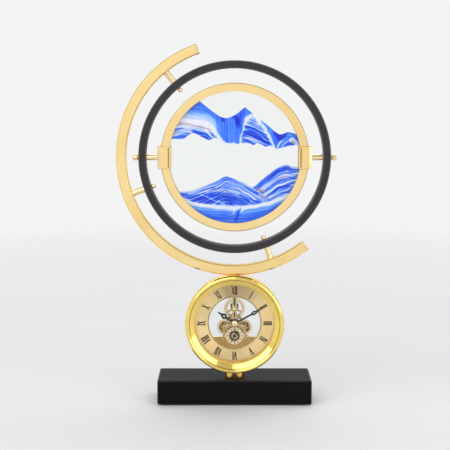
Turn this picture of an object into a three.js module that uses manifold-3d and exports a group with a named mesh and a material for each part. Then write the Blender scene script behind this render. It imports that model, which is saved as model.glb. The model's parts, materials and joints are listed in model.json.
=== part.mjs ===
// Sand art table clock. A skeleton clock stands on a black base and carries an open gold arc.
// A black ring is fixed inside the arc, and a round sand picture turns over inside the ring.
// Millimetres, +Z up, the front faces -Y, and the origin is under the middle of the base.

import * as THREE from 'three';
import { mergeVertices } from 'three/addons/utils/BufferGeometryUtils.js';
import Module from 'manifold-3d';

const wasm = await Module();
wasm.setup();

// Driving dimensions

const REST_GAP = 0.2; // left between faces that rest on each other
const FIT = 0.3; // left round a piece that sits in a hole or a channel
const RING_FACETS = 48;
const CLOCK_FACETS = 36;
const PIN_FACETS = 10;

const BASE = { width: 164, depth: 57, top: 27, pad: 1, padInset: 4, chamfer: 1.2 };
const UPPER_Y = -14.5; // plane of the arc, the ring and the picture, forward of the base's middle
const CLOCK_Z = 87.5;
const PICTURE_Z = 263;

const CASE = { radius: 51.2, bore: 47.2, front: -7, back: 11, flangeBore: 38 };
const CASE_MIDDLE = 2; // the arc stands over this depth of the case
const BEZEL = { radius: 52.5, opening: 42.3, crest: -15, crestRadius: 49.6, spigot: 46.9, spigotEnd: -4.4 };
const GLASS = { radius: 44.9, bore: 45.2, thickness: 1.6, front: -10.2, rear: 11.5 };
const DIAL = { outer: 46.6, inner: 27.7, bevel: 28.7, step: 31.5, front: -3.9, back: -3.0 };
const SECONDS_DIAL = { outer: 9.5, inner: 5.5, bore: 1.2, front: -2, floor: -1.6, back: -1.3 };
const PLATE = { outer: 42, inner: 27, front: -1.1, back: 0.1 };
const REAR_PLATE = { inner: 34, front: 6.4, back: 7.4, cutBelow: -14 };

const ARC = { outer: 124, inner: 113.5, depth: 12, wall: 1.5, chamfer: 1.2, cap: 3, capSpigot: 6 };
const ARC_SPAN = { start: 108.5, end: 309.2, steps: 36 };
const RING = { outer: 100.6, inner: 92.4, depth: 12, chamfer: 1 };
const FRAME = { outer: 77.5, inner: 68.8, depth: 11, seat: 73.5, lip: 1 };
const PANE = { radius: 73.2, thickness: 2.2, apart: 4.2 };
const STANDOFF_ANGLES = { upper: 129, left: 199.5, lower: 289.7 };
const CLIP = { inner: 66.6, outer: 80.6, depth: 14, height: 23.6, chamfer: 1.5 };
const PIVOT_RADIUS = 2.5;

const PEG = { radius: 4.8, x: 5.5 };
const ARC_SCREW_X = 6;

const SIDE_WHEEL = { distance: 11.3, below: 27.8 };
const TOP_WHEEL_Z = 15;
const SECONDS_Z = -14;
const DRIVE_PINION = [13, -16.2];
const CRESCENT_TOP = -14.7;
const HAND_ANGLES = { minute: 61, hour: 305, seconds: 214 };

const radians = THREE.MathUtils.degToRad;

// Materials

function finish(color, roughness, metalness) {
  return new THREE.MeshStandardMaterial({ color, roughness, metalness });
}
const satinGold = finish(0xe8c887, 0.32, 1);
const polishedGold = finish(0xe9cb6a, 0.12, 1);
const champagne = finish(0xe3c58c, 0.4, 0.9);
const brass = finish(0xb98f45, 0.3, 1);
const steel = finish(0xb8babd, 0.35, 1);
const satinBlack = finish(0x26242a, 0.45, 0.3);
const blackPaint = finish(0x121014, 0.4, 0);
const blackPlastic = finish(0x1a1a1c, 0.5, 0);
const rubber = finish(0x1b1b1b, 0.9, 0);
const glass = finish(0xeef4f6, 0.03, 0);
const sandBlue = finish(0x3a68d8, 0.9, 0);
const creamPaint = finish(0xeadfc4, 0.5, 0);

// Geometry helpers

// Merges a geometry's shared points, drops empty triangles and turns its faces outward.
function closed(geometry) {
  const bare = geometry.clone();
  bare.deleteAttribute('normal');
  bare.deleteAttribute('uv');
  const merged = mergeVertices(bare, 1e-4);
  const at = merged.attributes.position;
  const corner = [new THREE.Vector3(), new THREE.Vector3(), new THREE.Vector3()];
  const kept = [];
  let volume = 0;
  for (let i = 0; i < merged.index.count; i += 3) {
    const ids = [0, 1, 2].map((k) => merged.index.getX(i + k));
    if (new Set(ids).size < 3) continue;
    kept.push(...ids);
    ids.forEach((id, k) => corner[k].fromBufferAttribute(at, id));
    volume += corner[0].dot(corner[1].cross(corner[2]));
  }
  merged.setIndex(volume < 0 ? kept.reverse() : kept);
  return merged;
}

function solid(geometry) {
  const clean = closed(geometry);
  return new wasm.Manifold(new wasm.Mesh({
    numProp: 3,
    vertProperties: Float32Array.from(clean.attributes.position.array),
    triVerts: Uint32Array.from(clean.index.array),
  }));
}

function geometryOf(manifold) {
  const made = manifold.getMesh();
  const geometry = new THREE.BufferGeometry();
  geometry.setAttribute('position', new THREE.BufferAttribute(Float32Array.from(made.vertProperties), 3));
  geometry.setIndex(Array.from(made.triVerts));
  return geometry;
}

function join(...pieces) {
  return geometryOf(pieces.map(solid).reduce((whole, piece) => whole.add(piece)));
}

function cut(body, ...tools) {
  return geometryOf(tools.map(solid).reduce((left, tool) => left.subtract(tool), solid(body)));
}

// A turned piece about the Y axis from [radius, y] points.
// The outline closes on itself, or starts and ends on the axis.
function turned(profile, facets = CLOCK_FACETS) {
  const points = profile.map(([radius, y]) => new THREE.Vector2(radius, y));
  if (THREE.ShapeUtils.area(points) < 0) points.reverse();
  if (points[0].x > 0) points.push(points[0].clone());
  return closed(new THREE.LatheGeometry(points, facets));
}

function turnedAlongX(profile, facets = PIN_FACETS) {
  return turned(profile, facets).rotateZ(-Math.PI / 2);
}

function turnedAlongZ(profile, facets = PIN_FACETS) {
  return turned(profile, facets).rotateX(Math.PI / 2);
}

function rod(radius, from, to) {
  return [[0, from], [radius, from], [radius, to], [0, to]];
}

function tube(inner, outer, from, to) {
  return [[inner, from], [outer, from], [outer, to], [inner, to]];
}

function outline(points) {
  return new THREE.Shape(points.map(([x, z]) => new THREE.Vector2(x, z)));
}

function disc(radius, x = 0, z = 0) {
  return new THREE.Shape().absarc(x, z, radius, 0, 2 * Math.PI, false);
}

function bar(from, to, width) {
  const along = new THREE.Vector2(to[0] - from[0], to[1] - from[1]).normalize();
  const side = [-along.y * width / 2, along.x * width / 2];
  return outline([
    [from[0] + side[0], from[1] + side[1]],
    [from[0] - side[0], from[1] - side[1]],
    [to[0] - side[0], to[1] - side[1]],
    [to[0] + side[0], to[1] + side[1]],
  ]);
}

// A flat piece drawn in X and Z, between two depths.
function plate(shape, front, back) {
  const curveSegments = 5;
  const settings = { depth: back - front, bevelEnabled: false, curveSegments };
  const geometry = new THREE.ExtrudeGeometry(shape, settings);
  return closed(geometry.rotateX(Math.PI / 2).translate(0, back, 0));
}

function block(width, depth, height, x, y, z) {
  return closed(new THREE.BoxGeometry(width, depth, height).translate(x, y, z));
}

function chamferedOutline(width, height, chamfer) {
  const x = width / 2;
  const y = height / 2;
  return outline([
    [-x + chamfer, -y], [x - chamfer, -y], [x, -y + chamfer], [x, y - chamfer],
    [x - chamfer, y], [-x + chamfer, y], [-x, y - chamfer], [-x, -y + chamfer],
  ]);
}

// Points on a circle from one angle to another, in degrees.
function arcPoints(radius, from, to, steps, x = 0, z = 0) {
  return Array.from({ length: steps + 1 }, (_, i) => {
    const angle = radians(from + (to - from) * i / steps);
    return [x + radius * Math.cos(angle), z + radius * Math.sin(angle)];
  });
}

// A clock wheel's outline. Its teeth are short and narrow, so a pair runs with plain backlash.
function gearOutline(teeth, module, phase) {
  const pitchRadius = teeth * module / 2;
  const root = pitchRadius - 1.2 * module;
  const tip = pitchRadius + 0.5 * module;
  const step = 2 * Math.PI / teeth;
  const corners = [[root, -0.5], [tip, -0.08], [tip, 0.08]];
  const points = [];
  for (let i = 0; i < teeth; i += 1) {
    for (const [radius, share] of corners) {
      const angle = phase + (i + share) * step;
      points.push([radius * Math.cos(angle), radius * Math.sin(angle)]);
    }
  }
  return outline(points);
}

// Opens windows between a wheel's spokes. The first spoke's angle is in degrees.
function addWindows(shape, { spokes, hub, rim, width, first }) {
  for (let i = 0; i < spokes; i += 1) {
    const from = first + 360 * i / spokes;
    const to = from + 360 / spokes;
    const inset = (radius) => THREE.MathUtils.radToDeg(width / 2 / radius);
    const inner = arcPoints(hub, from + inset(hub), to - inset(hub), 2);
    const outer = arcPoints(rim, to - inset(rim), from + inset(rim), 6);
    shape.holes.push(outline([...inner, ...outer]));
  }
  return shape;
}

// The phase that puts the second wheel's gap on the first wheel's tooth.
function meshPhase(teeth, phase, direction, mateTeeth) {
  const place = (direction - phase) * teeth / (2 * Math.PI);
  return direction + Math.PI - (0.5 - place) * 2 * Math.PI / mateTeeth;
}

const model = new THREE.Group();

function add(group, name, geometry, material) {
  const mesh = new THREE.Mesh(geometry, material);
  mesh.name = name;
  group.add(mesh);
  return mesh;
}

function groupAt(x, y, z) {
  const group = new THREE.Group();
  group.position.set(x, y, z);
  model.add(group);
  return group;
}

// Base, its anti-slip pad, the two pegs and the screws that run up through them

const COUNTERBORE = { radius: 4.6, top: 13 };
const BASE_SCREW = { radius: 1.9, head: 4, headHeight: 3.5, end: 40 };
const SIDES = { left: -1, right: 1 };

function baseBlock() {
  const { width, depth, top, pad, chamfer } = BASE;
  const shape = chamferedOutline(width - 2 * chamfer, depth - 2 * chamfer, chamfer);
  const geometry = new THREE.ExtrudeGeometry(shape, {
    depth: top - pad - 2 * chamfer,
    bevelThickness: chamfer,
    bevelSize: chamfer,
    bevelSegments: 1,
  });
  geometry.translate(0, 0, pad + chamfer);
  const bores = Object.values(SIDES).flatMap((side) => [
    turnedAlongZ(rod(BASE_SCREW.radius + FIT, 0, top + 1)).translate(side * PEG.x, UPPER_Y, 0),
    turnedAlongZ(rod(COUNTERBORE.radius, 0, COUNTERBORE.top)).translate(side * PEG.x, UPPER_Y, 0),
  ]);
  return cut(geometry, ...bores);
}

function basePad() {
  const shape = chamferedOutline(BASE.width - 2 * BASE.padInset, BASE.depth - 2 * BASE.padInset, 3);
  return new THREE.ExtrudeGeometry(shape, { depth: BASE.pad - REST_GAP / 2, bevelEnabled: false });
}

function baseScrew() {
  const seat = COUNTERBORE.top - REST_GAP;
  const { radius, head, headHeight, end } = BASE_SCREW;
  return turnedAlongZ([[0, seat - headHeight], [head, seat - headHeight], [head, seat], [radius, seat],
    [radius, end - 1], [radius - 0.7, end], [0, end]]);
}

// A round peg whose top is hollowed to the case's curve.
function spacerPeg(side) {
  const top = CLOCK_Z - CASE.radius + 3;
  const body = turnedAlongZ(tube(BASE_SCREW.radius + FIT, PEG.radius, BASE.top + REST_GAP, top), 20);
  const seat = turned(rod(CASE.radius + REST_GAP, -20, 20)).translate(0, 0, CLOCK_Z);
  return cut(body.translate(side * PEG.x, 0, 0), seat);
}

add(model, 'base_block', baseBlock(), blackPaint);
add(model, 'base_pad', basePad(), rubber);
for (const [name, side] of Object.entries(SIDES)) {
  add(model, `base_screw_${name}`, baseScrew(), steel).position.set(side * PEG.x, UPPER_Y, 0);
  add(model, `spacer_peg_${name}`, spacerPeg(side), brass).position.set(0, UPPER_Y, 0);
}

// Clock case, bezel, glass and dial. Depths here are measured from the clock's own origin.

const clock = groupAt(0, UPPER_Y - CASE_MIDDLE, CLOCK_Z);
const PLATE_SCREW = { radius: 0.9, head: 2.2, ring: 40 };
const FLANGE = { front: -2.8, back: -1.3 };
const ARC_SCREW = { radius: 2, head: 3, seat: 46.1, headHeight: 2.4, end: 54 };

function clockCase() {
  const { radius, bore, front, back, flangeBore } = CASE;
  const shell = turned([[radius, front], [radius, back], [bore, back], [bore, FLANGE.back],
    [flangeBore, FLANGE.back], [flangeBore, FLANGE.front], [bore, FLANGE.front], [bore, front]]);
  const holes = Object.values(SIDES).flatMap((side) => [
    turnedAlongZ(rod(BASE_SCREW.radius + FIT, -CASE.radius - 1, -CASE.bore + 2))
      .translate(side * PEG.x, CASE_MIDDLE, 0),
    turnedAlongZ(rod(ARC_SCREW.radius + FIT, CASE.bore - 2, CASE.radius + 1))
      .translate(side * ARC_SCREW_X, CASE_MIDDLE, 0),
    turned(rod(PLATE_SCREW.radius + FIT, FLANGE.front - 1, FLANGE.back + 1), PIN_FACETS)
      .translate(side * PLATE_SCREW.ring, 0, 0),
  ]);
  return cut(shell, ...holes);
}

// Dished polished ring with a rolled outer edge and a spigot that centres it in the case.
function bezel() {
  const { radius, opening, crest, crestRadius, spigot, spigotEnd } = BEZEL;
  const seat = GLASS.front - REST_GAP;
  const shoulder = CASE.front - REST_GAP;
  const dish = [[opening, seat], [opening, seat - 0.5], [crestRadius - 1.2, crest + 0.5],
    [crestRadius, crest]];
  const roll = [[radius - 1.3, crest + 0.8], [radius - 0.3, crest + 2.6], [radius, crest + 4.6],
    [radius - 0.4, shoulder - 1.2], [CASE.radius, shoulder]];
  const inside = [[spigot, shoulder], [spigot, spigotEnd], [GLASS.bore, spigotEnd], [GLASS.bore, seat]];
  return turned([...dish, ...roll, ...inside]);
}

function dialSpacer() {
  const front = GLASS.front + GLASS.thickness + REST_GAP;
  return turned(tube(BEZEL.opening + 0.4, GLASS.radius, front, DIAL.front - REST_GAP));
}

function dialRing() {
  const { outer, inner, bevel, step, front, back } = DIAL;
  const foot = PLATE.front - FIT;
  return turned([[outer, back], [outer, front], [bevel, front], [inner, front + 1.2], [inner, foot],
    [step, foot], [step, back]]);
}

function secondsDial() {
  const { outer, inner, bore, front, floor, back } = SECONDS_DIAL;
  const edge = 0.2;
  return turned([[bore, floor], [inner, floor], [inner + edge, front], [outer - edge, front],
    [outer, front + edge], [outer, back], [bore, back]], 24).translate(0, 0, SECONDS_Z);
}

add(clock, 'clock_case', clockCase(), polishedGold);
add(clock, 'bezel', bezel(), polishedGold);
add(clock, 'front_glass', turned(rod(GLASS.radius, GLASS.front, GLASS.front + GLASS.thickness)), glass);
add(clock, 'dial_spacer', dialSpacer(), polishedGold);
add(clock, 'dial_ring', dialRing(), champagne);
add(clock, 'seconds_dial', secondsDial(), creamPaint);

// Plates of the movement, with the slotted bar, the wheel bridges and the crescent

const sidePoint = (side) => [
  side * SIDE_WHEEL.distance * Math.cos(radians(SIDE_WHEEL.below)),
  -SIDE_WHEEL.distance * Math.sin(radians(SIDE_WHEEL.below)),
];
const PIVOT = 0.7; // radius of a wheel's pivots
const BRIDGE = { bar: 4.6, slot: 1.8, slotTop: 26, side: 3, foot: 2.6, footX: 12 };
const BOSS = { centre: 5, top: 3, side: 2.8, seconds: 8, rear: 4 };
const REAR_BAR = 5;
const PILLAR = { ring: 38, angle: 25, radius: 2, stud: 0.9 };
const CENTRE_ARBOR = 1.3;
const HOUR_PIPE = { bore: 1.6, radius: 2.5, front: -5.2 };
const SETTING_SHAFT = 1.4;
const SETTING_SHAFT_END = 14;
const SETTING_KNOB = { radius: 4.6, front: 10.8, back: 16.6, edge: 0.4, flutes: 8, fluteRadius: 1 };
const pillarPoint = (side) => [
  side * PILLAR.ring * Math.cos(radians(PILLAR.angle)),
  PILLAR.ring * Math.sin(radians(PILLAR.angle)),
];

function pivotHole([x, z], radius, { front, back }) {
  return turned(rod(radius, front - 1, back + 1), PIN_FACETS).translate(x, 0, z);
}

function frontPlate() {
  const flat = (shape) => plate(shape, PLATE.front, PLATE.back);
  const chordAngle = THREE.MathUtils.radToDeg(Math.asin(-CRESCENT_TOP / (PLATE.inner + 1)));
  const crescent = outline(arcPoints(PLATE.inner + 1, 180 + chordAngle, 360 - chordAngle, 16));
  const pieces = [
    turned(tube(PLATE.inner, PLATE.outer, PLATE.front, PLATE.back)),
    flat(crescent),
    flat(disc(BOSS.seconds, 0, SECONDS_Z)),
    flat(bar([0, 0], [0, PLATE.inner + 1], BRIDGE.bar)),
    flat(disc(BOSS.top, 0, TOP_WHEEL_Z)),
    flat(disc(BOSS.centre)),
  ];
  for (const side of Object.values(SIDES)) {
    const pivot = sidePoint(side);
    pieces.push(flat(bar([0, 0], pivot, BRIDGE.side)));
    pieces.push(flat(disc(BOSS.side, ...pivot)));
    pieces.push(flat(bar(pivot, [side * BRIDGE.footX, CRESCENT_TOP - 2], BRIDGE.foot)));
  }
  const slot = flat(bar([0, TOP_WHEEL_Z + BOSS.top + 1], [0, BRIDGE.slotTop], BRIDGE.slot));
  const holes = [
    pivotHole([0, 0], HOUR_PIPE.radius + FIT, PLATE),
    pivotHole([0, TOP_WHEEL_Z], PIVOT + FIT, PLATE),
    pivotHole([0, SECONDS_Z], PIVOT + FIT, PLATE),
  ];
  for (const side of Object.values(SIDES)) {
    holes.push(pivotHole(sidePoint(side), PIVOT + FIT, PLATE));
    holes.push(pivotHole(pillarPoint(side), PILLAR.stud + FIT, PLATE));
    holes.push(pivotHole([side * PLATE_SCREW.ring, 0], PLATE_SCREW.radius + FIT, PLATE));
  }
  return cut(join(...pieces), slot, ...holes);
}

function rearPlate() {
  const flat = (shape) => plate(shape, REAR_PLATE.front, REAR_PLATE.back);
  const pieces = [
    turned(tube(REAR_PLATE.inner, PLATE.outer, REAR_PLATE.front, REAR_PLATE.back)),
    flat(bar([0, 0], [0, REAR_PLATE.inner + 1], REAR_BAR)),
    flat(disc(BOSS.rear)),
    flat(disc(BOSS.rear, 0, TOP_WHEEL_Z)),
    ...Object.values(SIDES).flatMap((side) => [
      flat(bar([0, 0], sidePoint(side), BRIDGE.side)),
      flat(disc(BOSS.side, ...sidePoint(side))),
    ]),
  ];
  const holes = [
    pivotHole([0, 0], PIVOT + FIT, REAR_PLATE),
    pivotHole([0, TOP_WHEEL_Z], SETTING_SHAFT + FIT, REAR_PLATE),
    ...Object.values(SIDES).flatMap((side) => [
      pivotHole(sidePoint(side), PIVOT + FIT, REAR_PLATE),
      pivotHole(pillarPoint(side), PILLAR.stud + FIT, REAR_PLATE),
    ]),
  ];
  const reach = 2 * PLATE.outer;
  const below = block(2 * reach, 20, reach, 0, REAR_PLATE.back, REAR_PLATE.cutBelow - reach / 2);
  return cut(join(...pieces), below, ...holes);
}

function pillar() {
  const { radius, stud } = PILLAR;
  const foot = PLATE.back + REST_GAP;
  const head = REAR_PLATE.front - REST_GAP;
  return turned([[0, PLATE.front], [stud, PLATE.front], [stud, foot], [radius, foot], [radius, head],
    [stud, head], [stud, REAR_PLATE.back], [0, REAR_PLATE.back]], PIN_FACETS);
}

function plateScrew() {
  const { radius, head } = PLATE_SCREW;
  const seat = PLATE.back + REST_GAP;
  return turned([[0, FLANGE.front + 0.2], [radius, FLANGE.front + 0.2], [radius, seat], [head, seat],
    [head, seat + 1.2], [head - 0.5, seat + 1.6], [0, seat + 1.6]], PIN_FACETS);
}

add(clock, 'front_plate', frontPlate(), brass);
add(clock, 'rear_plate', rearPlate(), brass);
for (const [name, side] of Object.entries(SIDES)) {
  const [x, z] = pillarPoint(side);
  add(clock, `pillar_${name}`, pillar(), brass).position.set(x, 0, z);
  add(clock, `plate_screw_${name}`, plateScrew(), steel).position.set(side * PLATE_SCREW.ring, 0, 0);
}

// Quartz movement housing with its battery tray, and the battery

const HOUSING = { width: 46, top: -15.6, bottom: -21.4, corner: 2, front: 3, back: 9, lobe: 4 };
const HOUSING_POST = { radius: 2, x: 19, z: -18.5 };
const CELL = { radius: 5.1, length: 43.4, edge: 0.4, nub: 1, nubRadius: 1.9, z: -27.2, y: 6.2 };
const TRAY = { width: 51, top: -21, bottom: -33.4, front: 0.3, back: 8 };
const CELL_FACETS = 20;

function housing() {
  const { width, top, bottom, corner, front, back, lobe } = HOUSING;
  const x = width / 2;
  const motor = plate(outline([[-x, bottom], [x, bottom], [x, top - corner], [x - corner, top],
    [-x + corner, top], [-x, top - corner]]), front, back);
  const middle = (a, b) => (a + b) / 2;
  const tray = block(TRAY.width, TRAY.back - TRAY.front, TRAY.top - TRAY.bottom,
    0, middle(TRAY.front, TRAY.back), middle(TRAY.top, TRAY.bottom));
  const secondsLobe = turned(rod(lobe, front, back), CELL_FACETS).translate(0, 0, SECONDS_Z);
  const posts = Object.values(SIDES).map((side) => (
    turned(rod(HOUSING_POST.radius, PLATE.back + REST_GAP, front + 1), PIN_FACETS)
      .translate(side * HOUSING_POST.x, 0, HOUSING_POST.z)));
  const space = { reach: CELL.length / 2 + CELL.nub + CELL.edge, radius: CELL.radius + FIT };
  const trough = turnedAlongX(rod(space.radius, -space.reach, space.reach), CELL_FACETS)
    .translate(0, CELL.y, CELL.z);
  const mouthDepth = 2 * (TRAY.back - CELL.y + 1);
  const mouth = block(2 * space.reach, mouthDepth, 2 * space.radius, 0, CELL.y + mouthDepth / 2, CELL.z);
  const bearings = [[0, SECONDS_Z], DRIVE_PINION].map(([bearingX, z]) => (
    turned(rod(PIVOT + FIT, front - 1, front + 2.5), PIN_FACETS).translate(bearingX, 0, z)));
  return cut(join(motor, tray, secondsLobe, ...posts), trough, mouth, ...bearings);
}

function battery() {
  const { radius, edge, nub, nubRadius } = CELL;
  const end = CELL.length / 2;
  return turnedAlongX([[0, -end], [radius - edge, -end], [radius, -end + edge], [radius, end - edge],
    [radius - edge, end], [nubRadius, end], [nubRadius, end + nub], [0, end + nub]], CELL_FACETS);
}

add(clock, 'movement_housing', housing(), blackPlastic);
add(clock, 'battery', battery(), steel).position.set(0, CELL.y, CELL.z);

// Wheels. The hour layer is at the front, then the minute layer, then the setting layer.

const LAYERS = { hour: [0.5, 1.3], minute: [1.7, 2.5], setting: [2.9, 3.7] };
const CANNON_TEETH = 10;
const SIDE_TEETH = 30;
const HOUR_PINION_TEETH = 8;
const HOUR_TEETH = 32;
const DRIVE_TEETH = 10;
const CENTRE_TEETH = 12;
const TOP_TEETH = 33;
const SIDE_MODULE = 2 * SIDE_WHEEL.distance / (CANNON_TEETH + SIDE_TEETH);
const SETTING_MODULE = 2 * TOP_WHEEL_Z / (CENTRE_TEETH + TOP_TEETH);
const SPOKES = {
  side: { spokes: 4, hub: 3, rim: 6.4, width: 3, first: 45 },
  hour: { spokes: 4, hub: 3.6, rim: 6.9, width: 1.4, first: 45 },
  top: { spokes: 3, hub: 2.4, rim: 8, width: 1.8, first: 90 },
};

const directionTo = ([x, z]) => Math.atan2(z, x);
const [rightX, rightZ] = sidePoint(SIDES.right);
const driveDirection = Math.atan2(DRIVE_PINION[1] - rightZ, DRIVE_PINION[0] - rightX);
const leftPhase = meshPhase(CANNON_TEETH, 0, directionTo(sidePoint(SIDES.left)), SIDE_TEETH);
const rightPhase = meshPhase(CANNON_TEETH, 0, directionTo(sidePoint(SIDES.right)), SIDE_TEETH);
const drivePhase = meshPhase(SIDE_TEETH, rightPhase, driveDirection, DRIVE_TEETH);
const hourPhase = meshPhase(HOUR_PINION_TEETH, 0, directionTo(sidePoint(SIDES.left)) + Math.PI, HOUR_TEETH);
const topPhase = meshPhase(CENTRE_TEETH, 0, Math.PI / 2, TOP_TEETH);

function arbor(radius, from, to) {
  return turned(rod(radius, from, to), PIN_FACETS);
}

function sideWheelOutline(phase) {
  return addWindows(gearOutline(SIDE_TEETH, SIDE_MODULE, phase), SPOKES.side);
}

function leftWheel() {
  return join(
    plate(sideWheelOutline(leftPhase), ...LAYERS.minute),
    plate(gearOutline(HOUR_PINION_TEETH, SIDE_MODULE, 0), LAYERS.hour[0], LAYERS.minute[0] + 0.1),
    arbor(PIVOT, PLATE.front, REAR_PLATE.back),
  );
}

function rightWheel() {
  const wheel = plate(sideWheelOutline(rightPhase), ...LAYERS.minute);
  return join(wheel, arbor(PIVOT, PLATE.front, REAR_PLATE.back));
}

function drivePinion() {
  return join(
    plate(gearOutline(DRIVE_TEETH, SIDE_MODULE, drivePhase), ...LAYERS.minute),
    arbor(PIVOT, LAYERS.minute[0] - 0.6, HOUSING.front + 2),
  );
}

function centreArbor() {
  return join(
    plate(gearOutline(CANNON_TEETH, SIDE_MODULE, 0), ...LAYERS.minute),
    plate(gearOutline(CENTRE_TEETH, SETTING_MODULE, 0), ...LAYERS.setting),
    arbor(CENTRE_ARBOR, -6.1, 6),
    arbor(PIVOT, 5.5, REAR_PLATE.back),
  );
}

function hourWheel() {
  const { bore, radius, front } = HOUR_PIPE;
  const wheel = addWindows(gearOutline(HOUR_TEETH, SIDE_MODULE, hourPhase), SPOKES.hour);
  const [wheelFront, wheelBack] = LAYERS.hour;
  const bored = cut(plate(wheel, wheelFront, wheelBack), arbor(radius - FIT, wheelFront - 1, wheelBack + 1));
  return join(bored, turned(tube(bore, radius, front, wheelBack), 20));
}

function settingWheel() {
  const wheel = addWindows(gearOutline(TOP_TEETH, SETTING_MODULE, topPhase), SPOKES.top);
  return join(
    plate(wheel, ...LAYERS.setting),
    arbor(PIVOT, PLATE.front, LAYERS.setting[1]),
    arbor(SETTING_SHAFT, LAYERS.setting[0], SETTING_SHAFT_END),
  );
}

function settingKnob() {
  const { radius, front, back, edge, flutes, fluteRadius } = SETTING_KNOB;
  const bore = SETTING_SHAFT + FIT;
  const boreEnd = SETTING_SHAFT_END + 0.4;
  const knob = turned([[0, back], [radius - edge, back], [radius, back - edge], [radius, front + edge],
    [radius - edge, front], [bore, front], [bore, boreEnd], [0, boreEnd]], 24);
  const cutters = arcPoints(radius + 0.4, 0, 360 - 360 / flutes, flutes - 1).map(([x, z]) => (
    turned(rod(fluteRadius, front - 1, back + 1), 6).translate(x, 0, z)));
  return cut(knob, ...cutters);
}

function place(mesh, [x, z]) {
  mesh.position.set(x, 0, z);
}

place(add(clock, 'left_wheel', leftWheel(), brass), sidePoint(SIDES.left));
place(add(clock, 'right_wheel', rightWheel(), brass), sidePoint(SIDES.right));
place(add(clock, 'drive_pinion', drivePinion(), brass), DRIVE_PINION);
place(add(clock, 'setting_wheel', settingWheel(), brass), [0, TOP_WHEEL_Z]);
place(add(clock, 'setting_knob', settingKnob(), blackPlastic), [0, TOP_WHEEL_Z]);
add(clock, 'centre_arbor', centreArbor(), brass);
add(clock, 'hour_wheel', hourWheel(), brass);

// Hands, drawn pointing to twelve and then turned to ten past ten

const HAND_DEPTHS = { minute: [-6, -5.6], hour: [-4.9, -4.5], seconds: [-2.8, -2.5] };
const HAND_HUBS = { minute: 2.8, hour: 4, seconds: 1.1 };

function mirrored(half) {
  const left = half.map(([x, z]) => [-x, z]).reverse();
  return outline([...half, ...left]);
}

function hand(half, eye, hub, bore, front, back) {
  const blade = mirrored(half);
  blade.holes.push(outline(eye));
  const body = join(plate(blade, front, back), turned(rod(hub, front, back), 20));
  return cut(body, turned(rod(bore, front - 1, back + 1), PIN_FACETS));
}

function minuteHand() {
  const half = [[0.9, 1.5], [0.65, 20], [2.2, 23.6], [0.8, 27.6], [0.65, 29], [0.25, 38.5]];
  const eye = [[0, 21.4], [1.2, 23.7], [0, 26.4], [-1.2, 23.7]];
  return hand(half, eye, HAND_HUBS.minute, CENTRE_ARBOR + REST_GAP, ...HAND_DEPTHS.minute);
}

function hourHand() {
  const half = [[1.1, 3], [0.8, 10], [3, 13.6], [0.95, 17.4], [0.8, 18.4], [0.3, 22]];
  const eye = [[0, 11.4], [1.7, 13.7], [0, 16.2], [-1.7, 13.7]];
  return hand(half, eye, HAND_HUBS.hour, HOUR_PIPE.radius + REST_GAP, ...HAND_DEPTHS.hour);
}

function secondsHand() {
  const [front, back] = HAND_DEPTHS.seconds;
  const tailZ = -4.4;
  const needle = mirrored([[0.45, tailZ - 0.2], [0.4, 0], [0.12, 8.8]]);
  const tail = disc(1.5, 0, tailZ);
  tail.holes.push(disc(0.8, 0, tailZ));
  return join(
    plate(needle, front, back),
    plate(tail, front, back),
    turned(rod(HAND_HUBS.seconds, front - 0.1, back), PIN_FACETS),
    arbor(PIVOT, back - 0.1, HOUSING.front + 2),
  );
}

const CAP = { radius: 3.6, height: 2, back: HAND_DEPTHS.minute[0] - REST_GAP };
const centreCap = turned([[0, CAP.back - CAP.height], [0.44 * CAP.radius, CAP.back - 0.89 * CAP.height],
  [0.78 * CAP.radius, CAP.back - 0.56 * CAP.height], [CAP.radius, CAP.back], [0, CAP.back]], 24);

add(clock, 'minute_hand', minuteHand(), blackPaint).rotation.y = radians(HAND_ANGLES.minute);
add(clock, 'centre_cap', centreCap, satinGold);
add(clock, 'hour_hand', hourHand(), blackPaint).rotation.y = radians(HAND_ANGLES.hour);
const secondsMesh = add(clock, 'seconds_hand', secondsHand(), blackPaint);
place(secondsMesh, [0, SECONDS_Z]);
secondsMesh.rotation.y = radians(HAND_ANGLES.seconds);

// Rear cover, which pulls off backwards over the setting knob

const REAR_BEZEL = { spigot: 46.8, spigotEnd: 8.6, opening: 43, back: 14.4, edge: 1.2, knobHole: 6 };

function rearBezel() {
  const { spigot, spigotEnd, opening, back, edge } = REAR_BEZEL;
  const shoulder = CASE.back + REST_GAP;
  const lip = GLASS.rear + GLASS.thickness + REST_GAP;
  return turned([[GLASS.bore, spigotEnd], [spigot, spigotEnd], [spigot, shoulder], [CASE.radius, shoulder],
    [CASE.radius, back - edge], [CASE.radius - edge, back], [opening, back], [opening, lip],
    [GLASS.bore, lip]]);
}

function rearGlass() {
  const pane = turned(rod(GLASS.radius, GLASS.rear, GLASS.rear + GLASS.thickness));
  const hole = turned(rod(REAR_BEZEL.knobHole, GLASS.rear - 1, REAR_BEZEL.back), 24);
  return cut(pane, hole.translate(0, 0, TOP_WHEEL_Z));
}

add(clock, 'rear_bezel', rearBezel(), polishedGold);
add(clock, 'rear_glass', rearGlass(), glass);

// Open arc of rectangular tube, with its end caps and the screws that hold it to the case

const upper = groupAt(0, UPPER_Y, PICTURE_Z);
const ARC_MIDDLE = (ARC.outer + ARC.inner) / 2;
const ARC_WIDTH = ARC.outer - ARC.inner;
const CAP_ANGLE = THREE.MathUtils.radToDeg((ARC.cap + REST_GAP) / ARC_MIDDLE);
const TUBE_START = ARC_SPAN.start + CAP_ANGLE;
const TUBE_END = ARC_SPAN.end - CAP_ANGLE;
const STANDOFF = { radius: 3.2, screw: 1.5, cap: 2.4, capHeight: 4.2 };

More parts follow.
